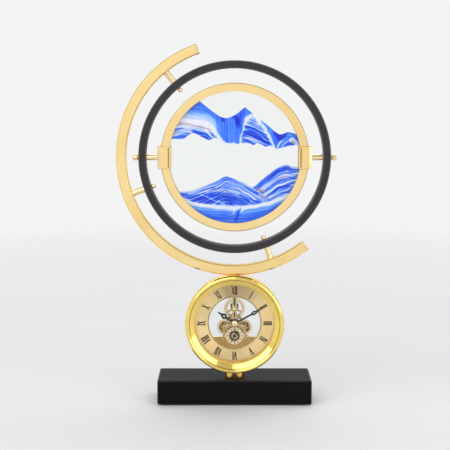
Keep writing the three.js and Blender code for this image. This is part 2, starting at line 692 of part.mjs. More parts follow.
class ArcPath extends THREE.Curve {
  getPoint(t, target = new THREE.Vector3()) {
    const angle = radians(TUBE_START + (TUBE_END - TUBE_START) * t);
    return target.set(ARC_MIDDLE * Math.cos(angle), 0, ARC_MIDDLE * Math.sin(angle));
  }
}

// Turns a mesh modelled along X to point along a radius of the arc.
function aim(mesh, angle) {
  mesh.rotation.y = -radians(angle);
  return mesh;
}

function radialHole(radius, from, to, angle) {
  return turnedAlongX(rod(radius, from, to)).rotateY(-radians(angle));
}

function openArc() {
  const section = chamferedOutline(ARC.depth, ARC_WIDTH, ARC.chamfer);
  const boreX = ARC.depth / 2 - ARC.wall;
  const boreZ = ARC_WIDTH / 2 - ARC.wall;
  section.holes.push(outline([[-boreX, -boreZ], [boreX, -boreZ], [boreX, boreZ], [-boreX, boreZ]]));
  const path = { steps: ARC_SPAN.steps, extrudePath: new ArcPath(), bevelEnabled: false };
  const shell = new THREE.ExtrudeGeometry(section, path);
  const screwHoles = Object.values(STANDOFF_ANGLES).map((angle) => (
    radialHole(STANDOFF.screw + FIT, ARC.inner - 2, ARC.inner + 3, angle)));
  const footHoles = Object.values(SIDES).map((side) => (
    turnedAlongZ(rod(ARC_SCREW.radius + FIT, -ARC.outer - 2, -ARC.outer + 3))
      .translate(side * ARC_SCREW_X, 0, 0)));
  return cut(shell, ...screwHoles, ...footHoles);
}

// A plug with a head as thick as the cap, its spigot inside the tube.
// It faces the way the arc runs, or back along it with a direction of -1.
function arcCap(direction) {
  const inset = 2 * (ARC.wall + FIT);
  const overlap = 0.5;
  const headShape = chamferedOutline(ARC_WIDTH, ARC.depth, ARC.chamfer);
  const spigotShape = chamferedOutline(ARC_WIDTH - inset, ARC.depth - inset, FIT);
  const straight = (shape, depth) => new THREE.ExtrudeGeometry(shape, { depth, bevelEnabled: false });
  const head = straight(headShape, ARC.cap);
  const spigot = straight(spigotShape, ARC.capSpigot + overlap);
  const plug = join(head, spigot.translate(0, 0, -ARC.capSpigot));
  return closed(plug.translate(ARC_MIDDLE, 0, REST_GAP).scale(1, 1, direction));
}

function arcScrew() {
  const { radius, head, seat, headHeight, end } = ARC_SCREW;
  return turnedAlongZ([[0, seat - headHeight], [head, seat - headHeight], [head, seat], [radius, seat],
    [radius, end], [0, end]]);
}

add(upper, 'c_arc', openArc(), satinGold);
aim(add(upper, 'arc_cap_upper', arcCap(-1), satinGold), TUBE_START);
aim(add(upper, 'arc_cap_lower', arcCap(1), satinGold), TUBE_END);
for (const [name, side] of Object.entries(SIDES)) {
  add(clock, `arc_screw_${name}`, arcScrew(), steel).position.set(side * ARC_SCREW_X, CASE_MIDDLE, 0);
}

// Black ring, the three standoffs that hold it in the arc, and the pivot bushes

const BUSH = { radius: 3.4, bore: PIVOT_RADIUS + 0.25 };
const PIVOT_ANGLES = { left: 180, right: 0 };

function outerRing() {
  const { outer, inner, depth, chamfer } = RING;
  const y = depth / 2;
  const body = turned([[inner + chamfer, -y], [outer - chamfer, -y], [outer, -y + chamfer],
    [outer, y - chamfer], [outer - chamfer, y], [inner + chamfer, y],
    [inner, y - chamfer], [inner, -y + chamfer]], RING_FACETS);
  const through = (radius, angle) => radialHole(radius, inner - 3, outer + 3, angle);
  const screwHoles = Object.values(STANDOFF_ANGLES).map((angle) => through(STANDOFF.screw + FIT, angle));
  const bushHoles = Object.values(PIVOT_ANGLES).map((angle) => through(BUSH.radius + REST_GAP, angle));
  return cut(body, ...screwHoles, ...bushHoles);
}

function standoff() {
  const bore = STANDOFF.screw + FIT;
  return turnedAlongX(tube(bore, STANDOFF.radius, RING.outer + REST_GAP, ARC.inner - REST_GAP));
}

function standoffScrew() {
  const { screw, cap, capHeight } = STANDOFF;
  const seat = RING.inner - 2 * REST_GAP;
  return turnedAlongX([[0, seat - capHeight], [cap - 0.6, seat - capHeight], [cap, seat - capHeight + 0.6],
    [cap, seat], [screw, seat], [screw, ARC.inner + 3], [0, ARC.inner + 3]]);
}

add(upper, 'outer_ring', outerRing(), satinBlack);
for (const [name, angle] of Object.entries(STANDOFF_ANGLES)) {
  aim(add(upper, `standoff_${name}`, standoff(), satinGold), angle);
  aim(add(upper, `standoff_screw_${name}`, standoffScrew(), satinGold), angle);
}
for (const [name, angle] of Object.entries(PIVOT_ANGLES)) {
  const bush = turnedAlongX(tube(BUSH.bore, BUSH.radius, RING.inner + 0.1, RING.outer - 0.1));
  aim(add(upper, `pivot_bush_${name}`, bush, brass), angle);
}

// Sand picture: two frame halves, two panes, the seal between them and the sand

function frameHalf(sign) {
  const { outer, inner, depth, seat, lip } = FRAME;
  const face = sign * depth / 2;
  const edge = 0.8;
  return turned([[inner, face], [outer - edge, face], [outer, face - sign * edge], [outer, sign * 0.1],
    [seat, sign * 0.1], [seat, face - sign * lip], [inner, face - sign * lip]], RING_FACETS);
}

const SAND = { radius: 69.8, thickness: 3.2, crestSteps: 27 };

function ridge(points) {
  const line = new THREE.SplineCurve(points.map(([x, z]) => new THREE.Vector2(x, z)));
  return line.getPoints(SAND.crestSteps).map((point) => [point.x, point.y]);
}

// A body of sand from its ridge lines and the stretches of the picture's edge between them.
function sandBody(...lines) {
  return plate(outline(lines.flat()), -SAND.thickness / 2, SAND.thickness / 2);
}

const onEdge = (angle) => [SAND.radius * Math.cos(radians(angle)), SAND.radius * Math.sin(radians(angle))];

function upperSand() {
  const crest = ridge([onEdge(122), [-24, 49], [-11, 42], [2, 45], [11, 52], [18, 48], [38, 33], [48, 26.5],
    onEdge(21)]);
  const underside = ridge([onEdge(11), [47, 10], [34, 11.5], [15, 15.5], [-7, 12.5], [-20, 20.5], [-30, 19.5],
    [-42, 25.5], onEdge(164)]);
  return sandBody(crest, arcPoints(SAND.radius, 20, 12, 2), underside, arcPoints(SAND.radius, 160, 126, 6));
}

function lowerSand() {
  const crest = ridge([onEdge(211), [-45, -35.5], [-20, -25.5], [-8, -20], [8, -26], [18, -29.5], [30, -22],
    [43, -12.5], [54, -8], onEdge(351)]);
  return sandBody(crest, arcPoints(SAND.radius, 348, 214, 22));
}

function pane(sign) {
  const inside = sign * PANE.apart / 2;
  return turned(rod(PANE.radius, inside, inside + sign * PANE.thickness), RING_FACETS);
}

add(upper, 'frame_front', frameHalf(-1), satinGold);
add(upper, 'frame_rear', frameHalf(1), satinGold);
add(upper, 'front_pane', pane(-1), glass);
add(upper, 'rear_pane', pane(1), glass);
const sealEdge = PANE.apart / 2 - REST_GAP;
const sealBore = SAND.radius + 0.4;
add(upper, 'pane_seal', turned(tube(sealBore, PANE.radius, -sealEdge, sealEdge), RING_FACETS), rubber);
add(upper, 'sand_upper', upperSand(), sandBlue);
add(upper, 'sand_lower', lowerSand(), sandBlue);

// Clips that clamp the frame halves, with the pivot pins and the knobs outside the ring

const PIN = { start: FRAME.outer + 0.6, thread: 1.7, body: 2.7, shoulder: RING.inner - 0.5,
  end: RING.outer + 0.6, stub: 1.6, stubLength: 3.2 };
const KNOB = { radius: 3.2, start: RING.outer + 0.9, length: 5.2, edge: 0.6 };

function clip() {
  const { inner, outer, depth, height, chamfer } = CLIP;
  const section = outline([[inner, -depth / 2], [outer - chamfer, -depth / 2], [outer, -depth / 2 + chamfer],
    [outer, depth / 2 - chamfer], [outer - chamfer, depth / 2], [inner, depth / 2]]);
  const body = new THREE.ExtrudeGeometry(section, { depth: height, bevelEnabled: false });
  const half = FRAME.depth / 2 + FIT;
  const channel = turned(tube(FRAME.inner - FIT, FRAME.outer + FIT, -half, half), RING_FACETS);
  const mouth = { width: 10, depth: 2 * (FRAME.depth / 2 - FRAME.lip + FIT) };
  const glassSide = block(mouth.width, mouth.depth, height + 2, FRAME.inner - mouth.width / 2, 0, 0);
  const bore = turnedAlongX(rod(PIN.thread + REST_GAP, FRAME.outer - 2, outer + 2));
  return cut(body.translate(0, 0, -height / 2), channel, glassSide, bore);
}

function pivotPin() {
  const { start, thread, body, shoulder, end, stub, stubLength } = PIN;
  const seat = CLIP.outer + REST_GAP;
  const tip = end + stubLength;
  return turnedAlongX([[0, start], [thread, start], [thread, seat], [body, seat], [body, shoulder],
    [PIVOT_RADIUS, shoulder], [PIVOT_RADIUS, end], [stub, end], [stub, tip], [0, tip]]);
}

function pivotKnob() {
  const { radius, start, length, edge } = KNOB;
  const tip = start + length;
  const bore = PIN.stub + REST_GAP;
  const boreEnd = start + PIN.stubLength + REST_GAP;
  return turnedAlongX([[0, tip], [radius - edge, tip], [radius, tip - edge], [radius, start], [bore, start],
    [bore, boreEnd], [0, boreEnd]]);
}

for (const [name, angle] of Object.entries(PIVOT_ANGLES)) {
  aim(add(upper, `frame_clip_${name}`, clip(), satinGold), angle);
  aim(add(upper, `pivot_pin_${name}`, pivotPin(), satinGold), angle);
  aim(add(upper, `pivot_knob_${name}`, pivotKnob(), satinGold), angle);
}

export default model;
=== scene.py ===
"""The finished look of the sand art table clock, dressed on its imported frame.

Lengths in this script are millimetres unless a name says otherwise. Meshes are scaled to metres when they
are made. +Z is up and the front faces -Y.
"""
import json
import math

import bmesh
import bpy
import numpy as np
from mathutils import Matrix, Vector, noise

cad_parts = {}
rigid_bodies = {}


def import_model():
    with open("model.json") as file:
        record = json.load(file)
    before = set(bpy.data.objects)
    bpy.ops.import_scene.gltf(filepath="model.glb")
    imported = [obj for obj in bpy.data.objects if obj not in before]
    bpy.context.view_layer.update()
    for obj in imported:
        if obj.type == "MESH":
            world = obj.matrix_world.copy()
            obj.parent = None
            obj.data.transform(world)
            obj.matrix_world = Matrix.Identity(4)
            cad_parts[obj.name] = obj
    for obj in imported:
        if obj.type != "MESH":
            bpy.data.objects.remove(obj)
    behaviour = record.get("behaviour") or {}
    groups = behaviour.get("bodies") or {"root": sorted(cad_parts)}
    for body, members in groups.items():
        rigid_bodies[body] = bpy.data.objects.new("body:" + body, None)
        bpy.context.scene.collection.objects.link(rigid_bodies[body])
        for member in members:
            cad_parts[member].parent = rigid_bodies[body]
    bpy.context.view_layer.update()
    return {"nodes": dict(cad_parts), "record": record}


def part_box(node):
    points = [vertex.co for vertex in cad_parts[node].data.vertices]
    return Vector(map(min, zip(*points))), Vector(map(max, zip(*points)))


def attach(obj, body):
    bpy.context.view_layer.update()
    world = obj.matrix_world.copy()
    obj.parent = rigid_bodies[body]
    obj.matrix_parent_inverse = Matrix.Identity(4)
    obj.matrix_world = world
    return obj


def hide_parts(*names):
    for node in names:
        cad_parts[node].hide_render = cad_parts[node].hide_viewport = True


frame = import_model()

MM = 0.001
X = Vector((1, 0, 0))
Y = Vector((0, 1, 0))
Z = Vector((0, 0, 1))

# Driving dimensions, the same as in the solids

CLOCK = Vector((0, -16.5, 87.5))
PICTURE = Vector((0, -14.5, 263))
BASE = {"width": 164, "depth": 57, "bottom": 1, "top": 27, "edge": 1.2}
PEG = {"x": 5.5, "radius": 4.8, "foot": 27.2, "groove": (33.6, 33.9, 34.5, 34.8), "depth": 0.45}
CASE_RADIUS = 51.2
BEZEL_OPENING = 42.3
GLASS_RADIUS = 44.9
DIAL_FRONT = -3.9
SMALL_DIAL_FRONT = -2
SECONDS_Z = -14
SECONDS_CENTRE = CLOCK + Z * SECONDS_Z
TOP_WHEEL_Z = 15
TOP_CENTRE = CLOCK + Z * TOP_WHEEL_Z
PLATE = {"outer": 42, "inner": 27, "front": -1.1, "back": 0.1}
REAR_PLATE = {"outer": 42, "inner": 34, "front": 6.4, "back": 7.4, "cut": -14}
ARC = {"outer": 124, "inner": 113.5, "half": 6, "edge": 1.2, "start": 108.5, "end": 309.2, "cap": 3}
RING = {"outer": 100.6, "inner": 92.4, "half": 6, "edge": 1.0}
FRAME = {"outer": 77.5, "inner": 68.8, "half": 5.5, "seat": 73.5, "lip": 1.0, "edge": 0.8, "meet": 0.1}
STANDOFFS = {"upper": 129, "left": 199.5, "lower": 289.7}
SIDES = {"left": -1, "right": 1}

# Fineness of the meshes

TURN_STEPS = 144
STUD_STEPS = 40
SHARP_ANGLE = math.radians(35)
HAIRLINE_METRES = 1e-7

# Axes a piece can be turned about: two directions across it and the one along it

CLOCK_AXES = (X, Z, Y)
UPRIGHT_AXES = (X, Y, Z)
LENGTHWAYS = (Y, Z, X)


def polar(radius, degrees):
    turn = math.radians(degrees)
    return (radius * math.cos(turn), radius * math.sin(turn))


def pivot_axes(side):
    return (Y, Z, X * side)


def spoke_axes(degrees):
    """Axes for a piece that points out from the picture's centre, counter-clockwise from the right."""
    across, up = polar(1, degrees)
    out = Vector((across, 0, up))
    return (Y, out.cross(Y), out)


# Finishes


class Nodes:
    """A shader tree whose nodes are made with their inputs fed by constants or by other nodes."""

    def __init__(self, tree):
        self.tree = tree

    def feed(self, socket, value):
        if isinstance(value, bpy.types.NodeSocket):
            self.tree.links.new(value, socket)
        else:
            socket.default_value = value

    def node(self, kind, inputs, **settings):
        made = self.tree.nodes.new("ShaderNode" + kind)
        for key, value in settings.items():
            setattr(made, key, value)
        for key, value in inputs.items():
            self.feed(made.inputs[key], value)
        return made

    def ramp(self, factor, *stops):
        made = self.node("ValToRGB", {"Fac": factor})
        elements = made.color_ramp.elements
        for element, (position, colour) in zip(elements, (stops[0], stops[-1])):
            element.position = position
            element.color = (*colour, 1)
        for position, colour in stops[1:-1]:
            elements.new(position).color = (*colour, 1)
        return made.outputs["Color"]


class Finish(Nodes):
    """A material around one Principled shader, with textures feeding its sockets."""

    def __init__(self, name, **constants):
        self.material = bpy.data.materials.new(name)
        self.material.use_nodes = True
        super().__init__(self.material.node_tree)
        self.shader = self.tree.nodes["Principled BSDF"]
        for socket, value in constants.items():
            self.set(socket.replace("_", " "), value)

    def set(self, socket, value):
        self.feed(self.shader.inputs[socket], value)

    def place(self):
        """The point on the piece, in metres, which moves with the piece."""
        return self.node("TexCoord", {}).outputs["Object"]

    def number(self, operation, first, second):
        return self.node("Math", {0: first, 1: second}, operation=operation).outputs[0]

    def weighed(self, first, share, second, other_share):
        """Two factors added in the given shares."""
        return self.number("ADD", self.number("MULTIPLY", first, share),
                           self.number("MULTIPLY", second, other_share))

    def vector(self, operation, first, second):
        return self.node("VectorMath", {0: first, 1: second}, operation=operation).outputs[0]

    def length(self, vector):
        return self.node("VectorMath", {0: vector}, operation="LENGTH").outputs["Value"]

    def noise(self, vector, scale, detail=2.0, roughness=0.5):
        inputs = {"Vector": vector, "Scale": scale, "Detail": detail, "Roughness": roughness}
        return self.node("TexNoise", inputs).outputs["Fac"]

    def spread(self, factor, low, high, start=0.3, end=0.7):
        """The factor's middle range spread over other limits."""
        inputs = {"Value": factor, "From Min": start, "From Max": end, "To Min": low, "To Max": high}
        return self.node("MapRange", inputs).outputs["Result"]

    def rings(self, centre, fine, slow):
        """Coordinates that run fast away from an axis along Y and slowly along circles round it."""
        offset = self.vector("SUBTRACT", self.place(), centre * MM)
        radius = self.length(self.vector("MULTIPLY", offset, (1, 0, 1)))
        depth = self.node("SeparateXYZ", {0: offset}).outputs["Y"]
        across = self.number("MULTIPLY", self.number("ADD", radius, depth), fine)
        around = self.vector("MULTIPLY", offset, (slow, slow, slow))
        return self.vector("ADD", around, self.node("CombineXYZ", {"Y": across}).outputs[0])

    def shade(self, factor, dark, light, start=0.3):
        """Colours the surface from dark to light over the factor's middle range."""
        self.set("Base Color", self.ramp(factor, (start, dark), (0.7, light)))

    def texture(self, grain, rough, strength, depth_mm):
        """Varies roughness along a grain and lets the grain stand out, which completes the material."""
        self.set("Roughness", self.spread(grain, *rough))
        inputs = {"Height": grain, "Strength": strength, "Distance": depth_mm * MM}
        self.set("Normal", self.node("Bump", inputs).outputs["Normal"])
        return self.material

    def mixed(self, share, first, second):
        """Shows a mix of two shaders, which completes the material."""
        both = self.node("MixShader", {0: share, 1: first, 2: second}).outputs[0]
        self.feed(self.tree.nodes["Material Output"].inputs["Surface"], both)
        return self.material


def brushed_gold(name, centre, dark, light):
    """Gold plate with fine circular brushing about the centre."""
    made = Finish(name, Metallic=1.0)
    made.shade(made.noise(made.place(), 28.0), dark, light)
    grain = made.noise(made.rings(centre, 2400, 30), 1.0, 4.0, 0.6)
    return made.texture(grain, (0.31, 0.39), 0.025, 0.02)


def polished_metal(name, dark, light, *rough):
    """Polished metal with faint wiping marks and a little tarnish."""
    made = Finish(name, Metallic=1.0)
    made.shade(made.noise(made.place(), 60.0, 3.0), dark, light)
    wiped = made.noise(made.vector("MULTIPLY", made.place(), (140, 420, 420)), 1.0, 3.0)
    return made.texture(wiped, rough, 0.03, 0.03)


DIAL_COLOUR = (1.0, 0.74, 0.35)
# Shares of a turn, counter-clockwise from nine o'clock, and how light the dial's colour is painted there:
# painted sheen, and painted shade at twelve
DIAL_PAINTED_SHEEN = [(0.0, 0.97), (0.125, 1.0), (0.21, 0.89), (0.29, 0.86), (0.375, 1.0), (0.5, 1.0), (0.625, 0.80),
              (0.71, 0.54), (0.79, 0.47), (0.875, 0.90), (1.0, 0.97)]


def dial_metal(name):
    """Champagne plate brushed in rings, with cones of painted sheen and painted shade in its colour round the
    middle.
    """
    made = Finish(name, Metallic=1.0, Anisotropic=0.75)
    parts = made.node("SeparateXYZ", {0: made.vector("SUBTRACT", made.place(), CLOCK * MM)}).outputs
    flat = made.node("CombineXYZ", {"X": parts["X"], "Y": parts["Z"]}).outputs[0]
    turn = made.node("TexGradient", {"Vector": flat}, gradient_type="RADIAL").outputs["Fac"]
    patches = made.spread(made.noise(made.place(), 45.0), -0.02, 0.02)
    stops = [(place, [share * shade for share in DIAL_COLOUR]) for place, shade in DIAL_PAINTED_SHEEN]
    # Painted sheen and shade: the base colour turns lighter and darker round the dial.
    made.set("Base Color", made.ramp(made.number("ADD", turn, patches), *stops))
    made.set("Tangent", made.node("Tangent", {}, direction_type="RADIAL", axis="Y").outputs[0])
    grain = made.noise(made.rings(CLOCK, 5200, 40), 1.0, 4.0, 0.65)
    return made.texture(grain, (0.30, 0.44), 0.1, 0.02)


def pearled_metal(name, dark, light, pearl_mm):
    """Plate finished with rows of small overlapping swirls."""
    made = Finish(name, Metallic=1.0)
    fine = 1 / (pearl_mm * MM)
    offset = made.vector("MULTIPLY", made.place(), (fine, 0, fine))
    cell = made.node("TexVoronoi", {"Vector": offset, "Scale": 1.0, "Randomness": 0.0}).outputs["Distance"]
    made.shade(made.weighed(cell, 0.6, made.noise(made.place(), 60.0, 3.0), 0.5), dark, light, 0.25)
    swirl = made.number("SINE", made.number("MULTIPLY", cell, 26.0), 0.0)
    return made.texture(swirl, (0.24, 0.40, -1.0, 1.0), 0.12, 0.02)


def satin_black(name, centre, dark, light, low, high, shine):
    """Black anodised or painted metal with a faint circular grain and fine dust in its pores."""
    made = Finish(name, Specular_IOR_Level=shine)
    grain = made.noise(made.rings(centre, 1700, 40), 1.0, 3.0, 0.6)
    mixed = made.weighed(grain, 0.6, made.noise(made.place(), 1500.0), 0.4)
    made.shade(mixed, dark, light, 0.35)
    return made.texture(mixed, (low, high), 0.15, 0.03)


def moulded(name, dark, light, grain_scale, low, high, bump_mm, shine=0.4):
    """Moulded plastic, rubber or paint with a fine surface grain."""
    made = Finish(name, Specular_IOR_Level=shine)
    made.shade(made.noise(made.place(), grain_scale / 40), dark, light)
    grain = made.noise(made.place(), grain_scale, 3.0, 0.6)
    return made.texture(grain, (low, high), 0.25, bump_mm)


def glass(name, tint, gloss):
    """Thin glass that lets light straight through and mirrors more at a slant."""
    made = Finish(name)
    facing = made.node("LayerWeight", {"Blend": 0.5}).outputs["Facing"]
    slant = made.number("MULTIPLY", made.number("POWER", facing, 5.0), 0.9)
    smears = made.spread(made.noise(made.place(), 45.0, 3.0), 0.0, 0.012)
    share = made.number("ADD", slant, made.number("ADD", smears, gloss))
    through = made.node("BsdfTransparent", {"Color": (*tint, 1)}).outputs[0]
    mirror = made.node("BsdfGlossy", {"Color": (1, 1, 1, 1), "Roughness": 0.03}).outputs[0]
    made.tree.nodes.remove(made.shader)
    return made.mixed(share, through, mirror)


SAND_FIELDS = ("along", "across", "pale", "rust", "streak")
SAND_TONES = [(0.0, (0.004, 0.024, 0.55)), (0.22, (0.010, 0.070, 0.80)), (0.45, (0.036, 0.180, 0.93)),
              (0.66, (0.17, 0.42, 0.94)), (0.84, (0.50, 0.63, 0.93)), (1.0, (0.78, 0.79, 0.90))]
RUST = (0.40, 0.17, 0.09, 1)


def sand_grains(name):
    """Settled sand. Each point has its place along and across its bed, and is more or less pale,
    rusty and streaked.
    """
    made = Finish(name, Specular_IOR_Level=0.25)
    along, across, pale, rust, streak = [
        made.node("Attribute", {}, attribute_name=field).outputs["Fac"] for field in SAND_FIELDS]

    def beds(length, thickness, size, band):
        flow = made.node("CombineXYZ", {"X": made.number("MULTIPLY", along, 1 / length),
                                        "Y": made.number("MULTIPLY", across, 1 / thickness)}).outputs[0]
        return made.spread(made.noise(flow, 1.0, 3.0, 0.6), -size, size, 0.5 - band, 0.5 + band)

    layers = made.number("ADD", beds(40, 4.5, 0.22, 0.2), beds(60, 1.2, 0.36, 0.08))
    grains = made.noise(made.place(), 2600.0, 2.0, 0.7)
    bedded = made.number("ADD", pale, made.number("MULTIPLY", layers, streak))
    colour = made.ramp(made.number("ADD", bedded, made.spread(grains, -0.08, 0.08)), *SAND_TONES)
    stained = made.number("MULTIPLY", rust, made.spread(grains, 0.55, 1.0))
    mixed = made.node("Mix", {"Factor": stained, 6: colour, 7: RUST}, data_type="RGBA")
    made.set("Base Color", mixed.outputs[2])
    return made.texture(grains, (0.75, 0.95), 0.35, 0.08)


# Dark and light colour, limits of roughness
POLISHED = {
    "polished_gold": ((0.95, 0.70, 0.17), (0.99, 0.77, 0.22), 0.08, 0.15),
    "movement_brass": ((0.66, 0.43, 0.16), (0.82, 0.58, 0.25), 0.18, 0.32),
    # Pale gold of the studs, which chamfers and bevels also get as a painted highlight
    "stud_gold": ((0.88, 0.66, 0.34), (0.97, 0.79, 0.48), 0.12, 0.22),
    "pale_brass": ((0.40, 0.29, 0.13), (0.54, 0.40, 0.20), 0.22, 0.34),
    # Brass of the wheels' webs, darkened in its colour as painted shade
    "web_bronze": ((0.13, 0.08, 0.025), (0.21, 0.135, 0.045), 0.24, 0.38),
    # A pale finish that edges and small caps get as a painted highlight
    "bright_edge": ((0.98, 0.88, 0.64), (1.0, 0.93, 0.74), 0.30, 0.40),
    # Dark brass of the front plate, which grooves and the clips' ends also get as painted shade
    "plate_brass": ((0.42, 0.24, 0.06), (0.56, 0.34, 0.10), 0.16, 0.28),
    "bridge_brass": ((0.46, 0.31, 0.12), (0.58, 0.41, 0.18), 0.16, 0.28),
    "peg_brass": ((0.80, 0.47, 0.13), (0.90, 0.57, 0.18), 0.10, 0.20),
    "screw_steel": ((0.55, 0.56, 0.58), (0.68, 0.69, 0.70), 0.22, 0.38),
    "cell_sleeve": ((0.22, 0.24, 0.27), (0.30, 0.32, 0.35), 0.28, 0.42),
}
# Centre of the grain, dark and light colour, limits of roughness, shine
BLACKS = {
    "black_anodised": (PICTURE, (0.016, 0.014, 0.017), (0.034, 0.030, 0.035), 0.36, 0.50, 0.35),
    "black_paint": (CLOCK, (0.002, 0.0016, 0.0025), (0.005, 0.004, 0.005), 0.40, 0.54, 0.10),
    "black_edge": (PICTURE, (0.05, 0.046, 0.046), (0.08, 0.074, 0.072), 0.20, 0.30, 0.8),
    "paint_edge": (CLOCK, (0.010, 0.008, 0.007), (0.020, 0.016, 0.014), 0.36, 0.50, 0.2),
}
# Dark and light colour, fineness of the grain, limits of roughness, bump, shine
MOULDED = {
    # Dark bronze of the small dial's floor, which the bar's slots also get as painted shade
    "dark_bronze": ((0.05, 0.028, 0.010), (0.08, 0.045, 0.016), 700.0, 0.3, 0.5, 0.02, 0.3),
    "print_black": ((0.004, 0.003, 0.003), (0.008, 0.006, 0.005), 900.0, 0.6, 0.8, 0.01, 0.1),
    "hand_black": ((0.006, 0.006, 0.007), (0.012, 0.012, 0.013), 900.0, 0.22, 0.34, 0.02),
    "black_plastic": ((0.012, 0.012, 0.013), (0.02, 0.02, 0.022), 1400.0, 0.42, 0.6, 0.05),
    "rubber_pad": ((0.012, 0.012, 0.012), (0.022, 0.022, 0.021), 900.0, 0.75, 0.95, 0.1),
    "cream_paint": ((0.76, 0.60, 0.35), (0.84, 0.69, 0.43), 1200.0, 0.35, 0.5, 0.02),
}
FINISHES = {
    "satin_gold": brushed_gold("satin_gold", PICTURE, (0.93, 0.68, 0.30), (0.99, 0.76, 0.37)),
    "champagne_dial": dial_metal("champagne_dial"),
    "pearled_bronze": pearled_metal("pearled_bronze", (0.26, 0.16, 0.050), (0.44, 0.29, 0.110), 2.2),
    "clear_glass": glass("clear_glass", (0.99, 0.996, 0.994), 0.008),
    "blue_sand": sand_grains("blue_sand"),
}
for maker, rows in ((polished_metal, POLISHED), (satin_black, BLACKS), (moulded, MOULDED)):
    for name, row in rows.items():
        FINISHES[name] = maker(name, *row)

# Outlines


def oblong(left, right, low, high):
    return [(left, low), (right, low), (right, high), (left, high)]


def chamfered(inner, outer, half, edge):
    """Section of a flat bar with chamfered corners, for turning."""
    return [(inner, -half + edge), (inner + edge, -half), (outer - edge, -half), (outer, -half + edge),
            (outer, half - edge), (outer - edge, half), (inner + edge, half), (inner, half - edge)]


def circle(radius, steps=TURN_STEPS, x=0.0, z=0.0):
    points = [polar(radius, 360 * step / steps) for step in range(steps)]
    return [(x + a, z + b) for a, b in points]


def arc_points(radius, start, end, steps=48):
    return [polar(radius, start + (end - start) * step / steps) for step in range(steps + 1)]


def bar(start, end, width):
    """The outline of a straight bar with round ends."""
    run = Vector(end) - Vector(start)
    lean = math.degrees(math.atan2(run.y, run.x))
    points = []
    for (x, z), turn in ((start, 90), (end, -90)):
        points += [(x + a, z + b) for a, b in arc_points(width / 2, lean + turn, lean + turn + 180, 12)]
    return points


def smooth(points, steps):
    """Points along a smooth curve through the given ones."""
    curve = []
    last = len(points) - 1
    for index in range(last):
        a, b, c, d = (Vector(points[min(max(index + k, 0), last)]) for k in (-1, 0, 1, 2))
        for step in range(steps):
            t = step / steps
            curve.append(b + ((c - a) * t + (2 * a - 5 * b + 4 * c - d) * t ** 2 +
                              (3 * b - a - 3 * c + d) * t ** 3) / 2)
    curve.append(Vector(points[-1]))
    return curve


def eased(outline, radius, steps=4):
    """A closed outline with its corners rounded. A corner may carry its own radius as a third value."""
    points = []
    for index, corner in enumerate(outline):
        here = Vector(corner[:2])
        back = Vector(outline[index - 1][:2]) - here
        ahead = Vector(outline[(index + 1) % len(outline)][:2]) - here
        own = corner[2] if len(corner) > 2 else radius
        reach = min(own / math.tan(back.angle(ahead) / 2), 0.45 * back.length, 0.45 * ahead.length)
        if reach < 0.01:
            points.append(here)
            continue
        start = here + back.normalized() * reach
        end = here + ahead.normalized() * reach
        for step in range(steps + 1):
            t = step / steps
            points.append(start * (1 - t) ** 2 + here * (2 * t * (1 - t)) + end * t ** 2)
    return points


# Mesh makers


def cleaned(mesh):
    bmesh.ops.remove_doubles(mesh, verts=mesh.verts, dist=1e-6)
    bmesh.ops.recalc_face_normals(mesh, faces=mesh.faces)
    return mesh


def turned(outline, centre, axes, steps=TURN_STEPS, start=0.0, span=360.0):
    """A mesh turned about an axis, from a closed outline of distances out from the axis and along it."""
    first, second, along = axes
    whole = span == 360.0
    mesh = bmesh.new()
    rows = []
    for step in range(steps if whole else steps + 1):
        across, up = polar(1, start + span * step / steps)
        out = first * across + second * up
        rows.append([mesh.verts.new((centre + out * r + along * v) * MM) for r, v in outline])
    for step in range(steps):
        near = rows[step]
        far = rows[(step + 1) % len(rows)]
        for index in range(len(outline)):
            mesh.faces.new((near[index - 1], near[index], far[index], far[index - 1]))
    if not whole:
        mesh.faces.new(rows[0])
        mesh.faces.new(rows[-1])
    return cleaned(mesh)


def lathe(outline, ease, centre, steps=TURN_STEPS, axes=CLOCK_AXES):
    return turned(eased(outline, ease), centre, axes, steps)


def prism(outline, start, end, centre, axes, mesh=None):
    """A straight bar with the given section, alone or added to a mesh."""
    first, second, along = axes
    mesh = mesh or bmesh.new()
    ends = []
    for place in (start, end):
        corners = [centre + first * a + second * b + along * place for a, b in outline]
        ends.append([mesh.verts.new(corner * MM) for corner in corners])
        mesh.faces.new(ends[-1])
    near, far = ends
    for index in range(len(outline)):
        mesh.faces.new((near[index - 1], near[index], far[index], far[index - 1]))
    return cleaned(mesh)


def bevelled(mesh, edges, width, segments):
    bmesh.ops.bevel(mesh, geom=list(edges), offset=width * MM, segments=segments, profile=0.5, affect="EDGES")
    return mesh


def end_edges(mesh):
    """The edges round a bar's end faces, which have more corners than the faces along it."""
    return {edge for face in mesh.faces if len(face.verts) > 4 for edge in face.edges}


def object_from(mesh, name="carrier"):
    """An object that shows a mesh. The mesh is used up."""
    data = bpy.data.meshes.new(name)
    mesh.to_mesh(data)
    mesh.free()
    made = bpy.data.objects.new(name, data)
    bpy.context.scene.collection.objects.link(made)
    return made


def mesh_from(made, mesh=None):
    """The mesh that an object shows, alone or added to another. The object is used up."""
    depsgraph = bpy.context.evaluated_depsgraph_get()
    shown = bpy.data.meshes.new_from_object(made.evaluated_get(depsgraph))
    bpy.data.batch_remove([made, made.data])
    mesh = mesh or bmesh.new()
    mesh.from_mesh(shown)
    bpy.data.meshes.remove(shown)
    return mesh


def merged(whole, *others):
    for other in others:
        mesh_from(object_from(other), whole)
    return whole


def drilled(mesh, *cutters):
    """A mesh with other meshes cut out of it."""
    made = object_from(mesh)
    tools = [object_from(cutter) for cutter in cutters]
    for tool in tools:
        hole = made.modifiers.new("hole", "BOOLEAN")
        hole.object = tool
        hole.solver = "EXACT"
    result = mesh_from(made)
    for tool in tools:
        bpy.data.batch_remove([tool, tool.data])
    return result


